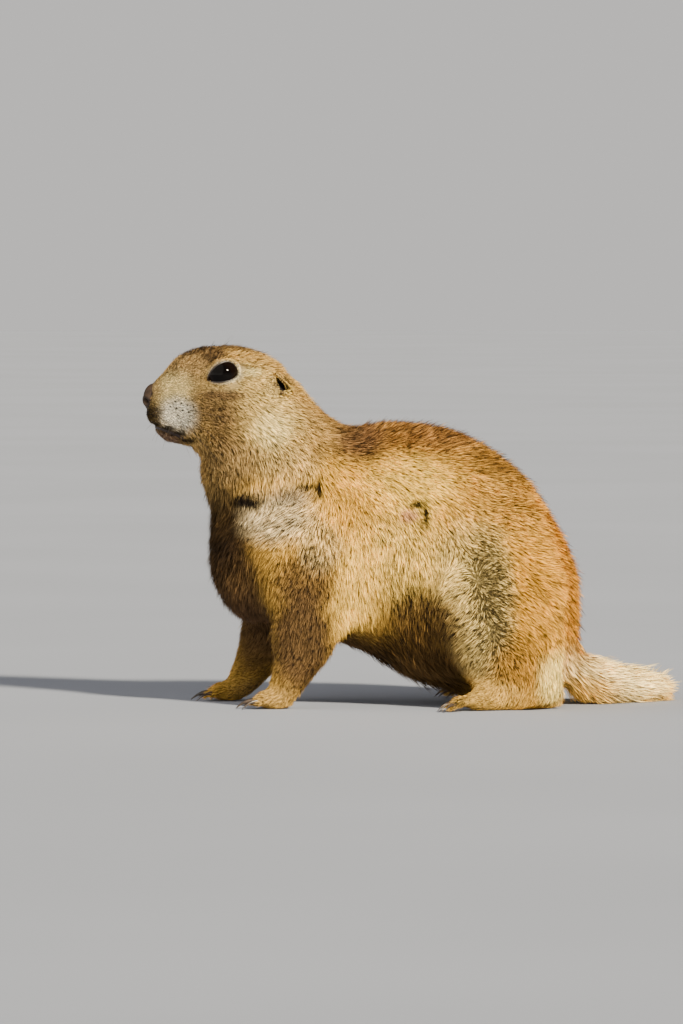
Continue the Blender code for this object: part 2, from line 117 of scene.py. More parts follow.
class Axis(Enum):
    """The way a stretch of the body runs, which its unwrap goes round."""

    ALONG = 0
    UP = 2


def place(x: float, y: float, z: float) -> Vector:
    """A point of the modeller's frame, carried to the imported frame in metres."""
    return (Vector((x, y, z)) + SHIFT) * MM


def own_frame(points: np.ndarray) -> np.ndarray:
    """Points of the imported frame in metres, carried back to millimetres in the modeller's frame."""
    return points / MM - np.array(SHIFT)


def unit(vectors: np.ndarray) -> np.ndarray:
    """The same directions, each of length one."""
    return vectors / np.maximum(np.linalg.norm(vectors, axis=-1, keepdims=True), 1e-12)


def smooth_step(low: float, high: float, value: np.ndarray) -> np.ndarray:
    """Rises from 0 at low to 1 at high with level ends."""
    t = np.clip((value - low) / (high - low), 0, 1)
    return t * t * (3 - 2 * t)


def finished(obj: bpy.types.Object, slot: Slot, material: bpy.types.Material) -> bpy.types.Object:
    """Dresses a piece and sets it riding on the body.

    Args:
        obj: A piece whose place is in its mesh.
        slot: The record's slot for its finish; it is not used.
        material: What it is made of.

    Returns:
        The same piece.
    """
    obj.data.materials.clear()
    obj.data.materials.append(material)
    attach(obj, "root")
    log.info("%s: %d faces", obj.name, len(obj.data.polygons))
    return obj


def object_of(bm: bmesh.types.BMesh, name: str, smooth: bool = True) -> bpy.types.Object:
    """A linked object of this bmesh, which is used up.

    Args:
        bm: The shape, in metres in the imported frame.
        name: The piece's name.
        smooth: Whether it is shaded smooth.

    Returns:
        The new object.
    """
    bmesh.ops.recalc_face_normals(bm, faces=bm.faces)
    mesh = bpy.data.meshes.new(name)
    bm.to_mesh(mesh)
    bm.free()
    if smooth:
        mesh.shade_smooth()
    obj = bpy.data.objects.new(name, mesh)
    bpy.context.scene.collection.objects.link(obj)
    return obj


def settle(obj: bpy.types.Object) -> bpy.types.Object:
    """Applies the object's modifiers to its mesh."""
    graph = bpy.context.evaluated_depsgraph_get()
    mesh = bpy.data.meshes.new_from_object(obj.evaluated_get(graph))
    obj.modifiers.clear()
    obj.data = mesh
    return obj


def read(items: bpy.types.bpy_prop_collection, key: str, width: int, kind: type = np.float32) -> np.ndarray:
    """One property of many mesh elements, as an array with a row for each."""
    values = np.empty(len(items) * width, kind)
    items.foreach_get(key, values)
    return values.reshape(-1, width) if width > 1 else values


@dataclass
class Surface:
    """A triangulated surface as arrays, in millimetres in the modeller's frame."""

    points: np.ndarray
    triangles: np.ndarray
    edges: np.ndarray

    @classmethod
    def of(cls, mesh: bpy.types.Mesh) -> "Surface":
        """Reads a mesh."""
        mesh.calc_loop_triangles()
        points = own_frame(read(mesh.vertices, "co", 3).astype(np.float64))
        triangles = read(mesh.loop_triangles, "vertices", 3, np.int32)
        edges = read(mesh.edges, "vertices", 2, np.int32)
        return cls(points, triangles, edges)

    def face_normals(self) -> np.ndarray:
        """The triangles' normals, as long as twice their areas."""
        a, b, c = (self.points[self.triangles[:, k]] for k in range(3))
        return np.cross(b - a, c - a)

    def areas(self) -> np.ndarray:
        """The triangles' areas in square millimetres."""
        return np.linalg.norm(self.face_normals(), axis=1) / 2

    def normals(self) -> np.ndarray:
        """The vertices' normals."""
        faces = self.face_normals()
        total = np.zeros_like(self.points)
        for k in range(3):
            for axis in range(3):
                total[:, axis] += np.bincount(
                    self.triangles[:, k], faces[:, axis], len(self.points)
                )
        return unit(total)

    def relaxed(self, values: np.ndarray, rounds: int, share: float | np.ndarray) -> np.ndarray:
        """Values at the vertices, each drawn towards the mean of its neighbours.

        Args:
            values: An array with a row for each vertex.
            rounds: How many times.
            share: How far towards the mean each time, for all or for each vertex.

        Returns:
            The evened values.
        """
        one, other = self.edges.T
        count = len(self.points)
        met = np.bincount(one, minlength=count) + np.bincount(other, minlength=count)
        met = np.maximum(met, 1)
        share = np.broadcast_to(share, (count,))
        for _ in range(rounds):
            fresh = np.empty_like(values)
            for axis in range(values.shape[1]):
                column = values[:, axis]
                mean = (
                    np.bincount(one, column[other], count)
                    + np.bincount(other, column[one], count)
                ) / met
                fresh[:, axis] = column + share * (mean - column)
            values = fresh
        return values


class CoatGuide(NamedTuple):
    """How the coat grows at one place of the left side: its lie, its length and how it is raised."""

    place: Triple
    lie: Triple
    length: float
    lift: float
    width: float
    density: float


# From the nose back over the head, down the neck, along the body and out to the feet and tail
GUIDES = [
    CoatGuide((-97, -3, 134), (0.8, -0.2, 0.5), 1.3, 12, 0.106, 18.8),
    CoatGuide((-90, -4, 144), (0.85, -0.1, 0.5), 2.3, 30, 0.123, 17.5),
    CoatGuide((-82, -5, 150), (1, -0.1, 0.25), 3.3, 36, 0.132, 15),
    CoatGuide((-66, -6, 152), (1, -0.1, 0), 4, 36, 0.141, 13.8),
    CoatGuide((-50, -9, 148), (1, 0, -0.35), 5, 34, 0.158, 11.2),
    CoatGuide((-36, -12, 138), (0.8, 0, -0.6), 5.1, 32, 0.176, 9.2),
    CoatGuide((-70, -14, 148), (1, -0.2, 0.1), 2.7, 30, 0.132, 15),
    CoatGuide((-56, -23, 140), (1, -0.1, -0.12), 3.1, 23, 0.141, 13.8),
    CoatGuide((-46, -25, 132), (0.9, 0, -0.4), 3.9, 23, 0.15, 11.2),
    CoatGuide((-67, -21, 130), (0.95, -0.2, -0.25), 2.8, 22, 0.132, 15),
    CoatGuide((-79, -13, 136), (0.9, -0.35, 0.1), 2.1, 22, 0.123, 16.2),
    CoatGuide((-88, -9, 130), (0.9, -0.3, 0), 2, 15, 0.106, 17.5),
    CoatGuide((-90, -9, 122), (0.8, -0.4, -0.35), 2, 16, 0.106, 17.5),
    CoatGuide((-95, -5, 119), (0.75, -0.4, -0.5), 1.5, 14, 0.106, 17.5),
    CoatGuide((-80, -16, 122), (0.85, -0.3, -0.3), 2.6, 25, 0.123, 15),
    CoatGuide((-67, -25, 122), (0.85, -0.1, -0.5), 4, 27, 0.15, 12.5),
    CoatGuide((-50, -28, 122), (0.8, 0, -0.5), 5.3, 25, 0.167, 10),
    CoatGuide((-38, -26, 118), (0.75, 0, -0.6), 5.4, 30, 0.194, 9.2),
    CoatGuide((-62, -27, 106), (0.35, 0, -0.95), 5.4, 34, 0.194, 10),
    CoatGuide((-50, -27, 104), (0.5, 0, -0.9), 5.8, 32, 0.194, 9.2),
    CoatGuide((-78, -13, 112), (0.7, -0.2, -0.6), 3.6, 27, 0.158, 12.5),
    CoatGuide((-90, -3, 112.5), (0.7, -0.1, -0.6), 2.2, 16, 0.123, 15),
    CoatGuide((-78, 0, 104), (0.35, -0.1, -0.95), 5.1, 34, 0.194, 10),
    CoatGuide((-26, -9, 124), (0.8, -0.1, -0.5), 5.3, 36, 0.185, 10.7),
    CoatGuide((-28, -31, 112), (0.65, -0.1, -0.75), 6, 36, 0.194, 9.9),
    CoatGuide((-48, -29, 94), (0.05, -0.1, -1), 6.3, 38, 0.194, 9.9),
    CoatGuide((-64, -24, 90), (0.1, -0.1, -1), 6, 38, 0.194, 9.9),
    CoatGuide((-74, -5, 85), (0.1, -0.1, -1), 6.3, 38, 0.202, 9),
    CoatGuide((-70, -5, 58), (0.12, -0.05, -1), 6.3, 36, 0.202, 9),
    CoatGuide((-62, -22, 62), (0.05, -0.1, -1), 6.3, 36, 0.202, 9),
    CoatGuide((-16, -33, 98), (0.55, -0.2, -0.8), 6.7, 34, 0.202, 9),
    CoatGuide((-34, -37, 86), (-0.8, -0.2, -0.6), 6.7, 40, 0.202, 9),
    CoatGuide((-50, -33, 80), (-0.75, -0.1, -0.75), 7, 38, 0.202, 9),
    CoatGuide((-24, -39, 74), (0.0, -0.1, -1), 6.7, 38, 0.202, 9),
    CoatGuide((-36, -40, 58), (-0.2, -0.05, -1), 5.6, 34, 0.194, 9.9),
    CoatGuide((-36, -38, 38), (-0.15, 0, -1), 5.2, 27, 0.176, 10.9),
    CoatGuide((-41, -33, 18), (-0.4, 0, -0.9), 4, 15, 0.167, 12.2),
    CoatGuide((-52, -27, 9), (-1, 0, -0.15), 2.2, 13, 0.132, 16.3),
    CoatGuide((-32, -15, 34), (0.1, 0.1, -1), 5, 16, 0.194, 8.8),
    CoatGuide((-6, -6, 119), (1, 0, -0.02), 6.3, 36, 0.202, 9),
    CoatGuide((24, -8, 118), (0.98, 0, -0.12), 7, 40, 0.202, 9),
    CoatGuide((50, -10, 105), (0.85, 0, -0.55), 7.2, 42, 0.202, 9),
    CoatGuide((68, -10, 84), (0.6, 0, -0.8), 7.2, 43, 0.202, 9),
    CoatGuide((2, -36, 100), (0.75, -0.2, -0.55), 7, 35, 0.202, 9),
    CoatGuide((8, -42, 82), (0.6, -0.1, -0.8), 7.2, 35, 0.202, 9),
    CoatGuide((38, -40, 92), (0.75, -0.2, -0.65), 7.2, 35, 0.202, 9),
    CoatGuide((28, -43, 72), (0.5, -0.1, -0.85), 7.2, 36, 0.202, 9),
    CoatGuide((0, -41, 60), (0.25, -0.1, -1), 7, 36, 0.202, 9),
    CoatGuide((-12, -38, 42), (0.15, 0, -1), 6.3, 36, 0.202, 9),
    CoatGuide((14, -42, 40), (0.15, 0, -1), 7, 38, 0.202, 9),
    CoatGuide((8, -32, 22), (0.5, 0.2, -0.85), 6.7, 36, 0.202, 8.2),
    CoatGuide((-10, -8, 26), (0.8, 0, -0.3), 5.5, 21, 0.194, 7.8),
    CoatGuide((20, -8, 12), (0.9, 0, -0.1), 5.5, 21, 0.194, 7.8),
    CoatGuide((30, -46, 30), (-0.45, -0.1, -0.85), 6.7, 38, 0.202, 9),
    CoatGuide((36, -45, 52), (-0.2, -0.1, -0.95), 7.2, 40, 0.202, 9),
    CoatGuide((60, -42, 44), (0.7, 0, -0.7), 7.2, 38, 0.202, 9),
    CoatGuide((45, -45, 16), (-0.25, 0, -1), 5.3, 36, 0.194, 9.9),
    CoatGuide((60, -40, 20), (0.25, 0, -0.95), 6, 36, 0.194, 9.9),
    CoatGuide((71, -32, 12), (0.3, 0, -0.95), 4.5, 15, 0.194, 10.9),
    CoatGuide((70, -34, 62), (0.9, 0, -0.4), 7.2, 40, 0.202, 9),
    CoatGuide((81, -10, 50), (0.5, 0, -0.9), 7.2, 43, 0.202, 9),
    CoatGuide((82, -12, 28), (0.55, 0, -0.85), 6.7, 41, 0.202, 9),
    CoatGuide((40, -40, 7), (-0.9, -0.4, -0.15), 2.6, 13, 0.141, 15),
    CoatGuide((62, -36, 6), (-0.3, -0.3, -0.8), 3.5, 15, 0.167, 12.2),
    CoatGuide((56, -14, 30), (0.1, 0.1, -1), 5.5, 23, 0.194, 7.8),
]
# The tail lies to the right, so its guides aren't mirrored
TAIL_GUIDES = [
    CoatGuide((84, 4, 24), (0.85, 0.3, -0.45), 13, 22, 0.27, 8),
    CoatGuide((90, 8, 4), (0.85, 0.45, 0), 10, 14, 0.27, 7),
    CoatGuide((100, 17, 13), (0.85, 0.5, -0.12), 13, 20, 0.27, 8),
    CoatGuide((114, 27, 8), (0.85, 0.55, -0.08), 11, 22, 0.27, 8),
]
GUIDE_BLEND = 5.0


class Parting(NamedTuple):
    """A line from which the left side's hair leans away, dark at its bottom."""

    start: Triple
    end: Triple
    reach: float
    strength: float


PARTINGS = [
    Parting((-36, -37, 92.5), (-31, -36, 91), 4, 1.6),
    Parting((-29.5, -36, 95), (-26.5, -37, 89), 4, 1.6),
    Parting((-62, -24, 86), (-50, -30, 84), 3.5, 0.9),
    Parting((13, -42, 87), (17.5, -43, 82), 4.5, 1.6),
    Parting((17.5, -43, 82), (16, -43, 76.5), 4.5, 1.6),
    Parting((0, -42, 66), (-1, -42, 48), 5, 0.6),
    Parting((26, -43, 74), (39, -45, 54), 9, 0.9),
    Parting((39, -45, 54), (46, -45, 30), 10, 1.2),
    Parting((46, -45, 30), (49, -44, 14), 8, 0.9),
]


class Whorl(NamedTuple):
    """A place from which the hair runs outward all round."""

    place: Triple
    reach: float


WHORLS = [Whorl((-28, -38, 92), 9)]


@dataclass
class CoatField:
    """The lie, length, lift, width and density of the coat anywhere on the body."""

    guides: Sequence[CoatGuide] = tuple(GUIDES)
    tail_guides: Sequence[CoatGuide] = tuple(TAIL_GUIDES)

    def table(self) -> tuple[np.ndarray, np.ndarray, np.ndarray]:
        """The guides of both sides.

        Returns:
            Their places, their lies, and their sizes (length, lift, width, density).
        """
        flip = np.array([1, -1, 1])
        places, lies, sizes = [], [], []
        for guide in self.guides:
            for sign in (np.ones(3), flip):
                places.append(np.array(guide.place) * sign)
                lies.append(np.array(guide.lie) * sign)
                sizes.append(guide[2:])
        for guide in self.tail_guides:
            places.append(np.array(guide.place))
            lies.append(np.array(guide.lie))
            sizes.append(guide[2:])
        return np.array(places), unit(np.array(lies)), np.array(sizes)

    def at(self, points: np.ndarray, normals: np.ndarray) -> tuple[np.ndarray, np.ndarray]:
        """The coat at some points of the skin.

        Args:
            points: Places in millimetres.
            normals: The skin's normals there.

        Returns:
            The lie along the skin, and the sizes (length, lift, width, density).
        """
        places, lies, sizes = self.table()
        gaps = np.linalg.norm(points[:, None, :] - places[None], axis=2)
        weights = 1 / (gaps**4 + GUIDE_BLEND**4)
        weights /= weights.sum(axis=1, keepdims=True)
        lie = weights @ lies
        mixed = weights @ sizes
        for whorl in WHORLS:
            for sign in (1, -1):
                away = points - np.array(whorl.place) * (1, sign, 1)
                near = 1 - smooth_step(0.4, 1.0, np.linalg.norm(away, axis=1) / whorl.reach)
                lie = lie * (1 - near[:, None]) + unit(away) * near[:, None]
        for parting in PARTINGS:
            away, near = self.beside(points, parting)
            lie = lie + unit(away) * (near * parting.strength)[:, None]
        lie -= normals * np.sum(lie * normals, axis=1, keepdims=True)
        return unit(lie), mixed

    @staticmethod
    def beside(points: np.ndarray, parting: Parting) -> tuple[np.ndarray, np.ndarray]:
        """How points lie from a parting: the way out from its line, and how near they are."""
        start, end = np.array(parting.start), np.array(parting.end)
        along = np.clip((points - start) @ (end - start) / np.sum((end - start) ** 2), 0, 1)
        away = points - start - along[:, None] * (end - start)
        near = np.exp(-((np.linalg.norm(away, axis=1) / parting.reach) ** 2))
        return away, near


def rise(lift: np.ndarray) -> np.ndarray:
    """How high a hair's tip stands, as a share of its length, where it is raised by these degrees."""
    steps = zip(BEND, SHARES)
    return sum(share * np.sin(np.radians(lift + bend)) for bend, share in steps)


# A hair leaves the skin steeply and bends over along its lie
BEND = (24.0, 2.0, -12.0)
SHARES = (0.34, 0.34, 0.32)


@dataclass(frozen=True)
class EyeShape:
    """One eye's place and its slit, as the solids have them."""

    side: Side

    @property
    def frame(self) -> Matrix:
        """The eye's own frame: x back along the slit, y across the head, z up."""
        sign = self.side.value
        turn = Euler([math.radians(a) for a in (EYE_UP * sign, -EYE_TILT, EYE_FORWARD * sign)])
        return Matrix.Translation(Vector((EYE[0], EYE[1] * sign, EYE[2]))) @ turn.to_matrix().to_4x4()

    @staticmethod
    def gape(share: float) -> float:
        """How far the lids part along the slit, from 0 at its front corner to 1 at its widest."""
        widest = SLIT_FRONT / (SLIT_FRONT + SLIT_BACK)
        peak = widest**SLIT_FRONT * (1 - widest) ** SLIT_BACK
        return share**SLIT_FRONT * (1 - share) ** SLIT_BACK / peak

    def rim(self, steps: int = 48) -> tuple[np.ndarray, np.ndarray]:
        """The slit's edge round the ball.

        Args:
            steps: Points along each lid.

        Returns:
            The bearings round the eye's axis, rising, and the angle out from the axis at each.
        """
        shares = (1 - np.cos(np.linspace(0, math.pi, steps))) / 2
        outline = [((s - 0.5) * EYE_WIDTH, EYE_ARCH * self.gape(s)) for s in shares]
        outline += [((s - 0.5) * EYE_WIDTH, -EYE_SAG * self.gape(s)) for s in shares[-2:0:-1]]
        x, z = np.array(outline).T
        bearing = np.arctan2(z, x)
        angle = np.arcsin(np.minimum(np.hypot(x, z) / EYE_RADIUS, 0.999))
        order = np.argsort(bearing)
        return bearing[order], angle[order]

    def outside(self, points: np.ndarray) -> tuple[np.ndarray, np.ndarray]:
        """How far points lie outside the slit, in radians about the eye, and from its centre."""
        back = np.array(self.frame.inverted())
        local = points @ back[:3, :3].T + back[:3, 3]
        across = local[:, 1] * self.side.value
        bearing = np.arctan2(local[:, 2], local[:, 0])
        angle = np.arctan2(np.hypot(local[:, 0], local[:, 2]), across)
        edge = np.interp(bearing, *self.rim(), period=math.tau)
        return angle - edge, np.linalg.norm(local, axis=1)

    def point(self, bearing: float, angle: float, radius: float) -> Vector:
        """A place about the eye, in the modeller's frame."""
        sine = math.sin(angle)
        local = Vector(
            (
                radius * sine * math.cos(bearing),
                radius * math.cos(angle) * self.side.value,
                radius * sine * math.sin(bearing),
            )
        )
        return self.frame @ local


class Paw(NamedTuple):
    """A foot's toes as the solids have them: their root, heading, fan, step across and sizes."""

    root: Triple
    heading: float
    fan: tuple[float, ...]
    spread: float
    lengths: tuple[float, ...]
    toe_radius: float
    claw_length: float

    def toes(self, side: Side, step: float) -> Iterable[tuple[np.ndarray, np.ndarray, float]]:
        """Each toe's start, heading and length, on one side and carried forward by a step."""
        heading = math.radians(self.heading)
        across = np.array((math.sin(heading), -math.cos(heading), 0))
        middle = (len(self.fan) - 1) / 2
        for i, turn in enumerate(self.fan):
            start = np.array(self.root) - (step, 0, 0) + across * (middle - i) * self.spread
            start[1] *= side.value
            aim = math.radians(-(self.heading + turn) * side.value)
            yield start, np.array((-math.cos(aim), -math.sin(aim), 0)), self.lengths[i]


FOREPAW = Paw((-46, 27, 4.4), 4, (-19, -6, 6, 19), 3.1, (7.5, 9.5, 9.5, 7.5), 2.2, 6.5)
HIND_PAW = Paw((36, 41.5, 4.2), 26, (-22, -10, 0, 10, 21), 3.2, (7, 9.5, 10.5, 9.5, 7), 2.2, 5.2)
FAR_STEP = 20.0

MOUTH_LINE = [(-101, 118.6), (-96, 117.4), (-91, 115.8), (-86, 113.8), (-81.5, 110.8)]
NOSE_CENTRE, NOSE_RADII = (-96.3, 0, 129.0), (4.5, 4.6, 6.2)

FLESH = ["head", "neck", "torso", "rump", "tail"] + [
    f"{part}_{side.label}"
    for part in ("shoulder", "thigh", "forearm", "forepaw", "hind_paw")
    for side in Side
]


def paw_of(node: str) -> tuple[Paw, Side, float] | None:
    """The toes that a node carries, with its side and its step, or None."""
    for side in Side:
        if node == f"forepaw_{side.label}":
            return FOREPAW, side, FAR_STEP if side is Side.RIGHT else 0.0
        if node == f"hind_paw_{side.label}":
            return HIND_PAW, side, 0.0
    return None


@dataclass
class Skin:
    """The one skin under the coat, made from the flesh of the solids and sunk by the coat's depth."""

    coat: CoatField
    voxel: float = 1.05
    swell: float = 0.35
    sink_rounds: int = 6
    crease_rounds: int = 30
    surface: Surface = field(init=False)
    tree: BVHTree = field(init=False)
    owner: np.ndarray = field(init=False)

    def merged(self) -> bpy.types.Object:
        """The flesh nodes' copies in one mesh, a little swollen so that the cuts between them close."""
        joined = bmesh.new()
        for name in FLESH:
            part = bmesh.new()
            part.from_mesh(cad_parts[name].data)
            bmesh.ops.remove_doubles(part, verts=part.verts, dist=1e-6)
            part.normal_update()
            for vert in part.verts:
                vert.co += vert.normal * self.swell * MM
            toes = paw_of(name)
            if toes:
                self.draw_claws_in(part, *toes)
            mesh = bpy.data.meshes.new("part")
            part.to_mesh(mesh)
            part.free()
            joined.from_mesh(mesh)
            bpy.data.meshes.remove(mesh)
        fillers = [(EYE[0], EYE[1] * side.value, EYE[2], EYE_RADIUS + 1.3) for side in Side]
        fillers += [(-94.4, 0.0, 129.0, 4.6), (-94.8, 0.0, 124.8, 5.8)]
        for x, y, z, radius in fillers:
            bmesh.ops.create_icosphere(
                joined, subdivisions=3, radius=radius * MM, matrix=Matrix.Translation(place(x, y, z))
            )
        return object_of(joined, "skin")

    @staticmethod
    def draw_claws_in(part: bmesh.types.BMesh, paw: Paw, side: Side, step: float) -> None:
        """Flattens the claws of the solids onto their toes, since they are pieces of their own here."""
        toes = list(paw.toes(side, step))
        for vert in part.verts:
            point = own_frame(np.array(vert.co))
            for start, aim, length in toes:
                along = (point - start) @ aim
                beside = point - start - aim * along
                past = along - length - 0.4
                if past > 0 and np.linalg.norm(beside[:2]) < 2.2:
                    vert.co -= Vector(aim * past) * MM

    def build(self) -> bpy.types.Object:
        """Melts, sinks and shapes the skin.

        Returns:
            The skin as a finished mesh object.
        """
        obj = self.merged()
        remesh = obj.modifiers.new("Melt", "REMESH")
        remesh.mode = "VOXEL"
        remesh.voxel_size = self.voxel * MM
        settle(obj)
        surface = Surface.of(obj.data)
        surface.points = surface.relaxed(surface.points, 3, 0.5)
        self.fill_creases(surface)
        self.owner = self.nearest_nodes(surface.points)
        for _ in range(self.sink_rounds):
            normals = surface.normals()
            _, sizes = self.coat.at(surface.points, normals)
            depth = sizes[:, 0] * rise(sizes[:, 1]) + self.swell
            surface.points -= normals * (depth / self.sink_rounds)[:, None]
            surface.points = surface.relaxed(surface.points, 1, 0.3)
        self.sink_eyes(surface)
        self.part_mouth(surface)
        self.tree = BVHTree.FromPolygons([Vector(p) for p in surface.points], surface.triangles.tolist())
        self.sink_ears(surface)
        self.surface = surface
        points = (surface.points + np.array(SHIFT)) * MM
        obj.data.vertices.foreach_set("co", points.astype(np.float32).ravel())
        obj.data.update()
        obj.data.shade_smooth()
        return obj

    def fill_creases(self, surface: Surface) -> None:
        """Fills the deep creases where limbs meet the body, which fur would hide."""
        furred = (surface.points[:, 2] > 15) & (surface.points[:, 0] > -58)
        for _ in range(self.crease_rounds):
            even = surface.relaxed(surface.points, 1, 1.0) - surface.points
            hollow = np.sum(even * surface.normals(), axis=1) > 0
            surface.points += even * np.where(hollow & furred, 0.7, 0.0)[:, None]

    @staticmethod
    def nearest_nodes(points: np.ndarray) -> np.ndarray:
        """The index in FLESH of the node nearest to each point."""
        places, owners = [], []
        for index, name in enumerate(FLESH):
            found = own_frame(read(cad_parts[name].data.vertices, "co", 3).astype(np.float64))
            places.append(found)
            owners.append(np.full(len(found), index))
        places, owners = np.concatenate(places), np.concatenate(owners)
        tree = KDTree(len(places))
        for i, spot in enumerate(places):
            tree.insert(spot, i)
        tree.balance()
        return np.array([owners[tree.find(point)[1]] for point in points])

    @staticmethod
    def sink_eyes(surface: Surface) -> None:
        """Opens the skin over each eye and keeps it off the ball all round."""
        for side in Side:
            eye = EyeShape(side)
            outside, distance = eye.outside(surface.points)
            centre = np.array(eye.frame.translation)
            open_here = (outside < 0.28) & (distance < 12)
            wanted = np.where(open_here, EYE_RADIUS - 1.6, np.maximum(distance, EYE_RADIUS + 0.35))
            close = distance < 12
            ways = unit(surface.points - centre)
            surface.points[close] = (centre + ways * wanted[:, None])[close]

    @staticmethod
    def sink_ears(surface: Surface) -> None:
        """Sinks the skin under each ear, so that the ear's opening has room."""
        for side in Side:
            out = Ear(side).footprint(surface.points)
            surface.points[:, 1] -= side.value * 6.5 * (1 - smooth_step(0.6, 0.85, out))

    @staticmethod
    def part_mouth(surface: Surface) -> None:
        """Presses the line of the mouth into the skin."""
        line_x, line_z = np.array(MOUTH_LINE[::1]).T
        points = surface.points
        height = np.interp(points[:, 0], line_x, line_z)
        near = np.exp(-(((points[:, 2] - height) / 1.1) ** 2))
        fade = np.clip((-80 - points[:, 0]) / 4, 0, 1)
        surface.points -= surface.normals() * (near * fade * 1.3)[:, None]


class Marking(NamedTuple):
    """A soft patch of colour on skin and coat, with its share of dark-tipped hairs: most are the coat's markings, some
    are painted shade.
    """

    place: Triple
    reach: Triple
    colour: Triple
    strength: float = 1.0
    ticks: float = 0.1
    left_only: bool = False


RUST, ORANGE, BUFF = (0.62, 0.28, 0.048), (0.88, 0.43, 0.059), (0.86, 0.51, 0.092)
GOLD, CREAM, PALE = (0.84, 0.47, 0.063), (0.94, 0.67, 0.17), (0.97, 0.80, 0.36)
TAN, BROWN, DARK = (0.54, 0.35, 0.13), (0.24, 0.14, 0.063), (0.045, 0.028, 0.016)
GREY_CREAM, BLACK = (0.78, 0.62, 0.32), (0.004, 0.003, 0.003)
# The second of these is a dark brown for painted shade on the chest, the underside and the forelegs' inner sides; the
# third is the chin's pink, darkened by painted shade under the jaw
AMBER, PAINTED_SHADE_BROWN, CHIN = (0.26, 0.14, 0.034), (0.09, 0.05, 0.026), (0.24, 0.15, 0.13)
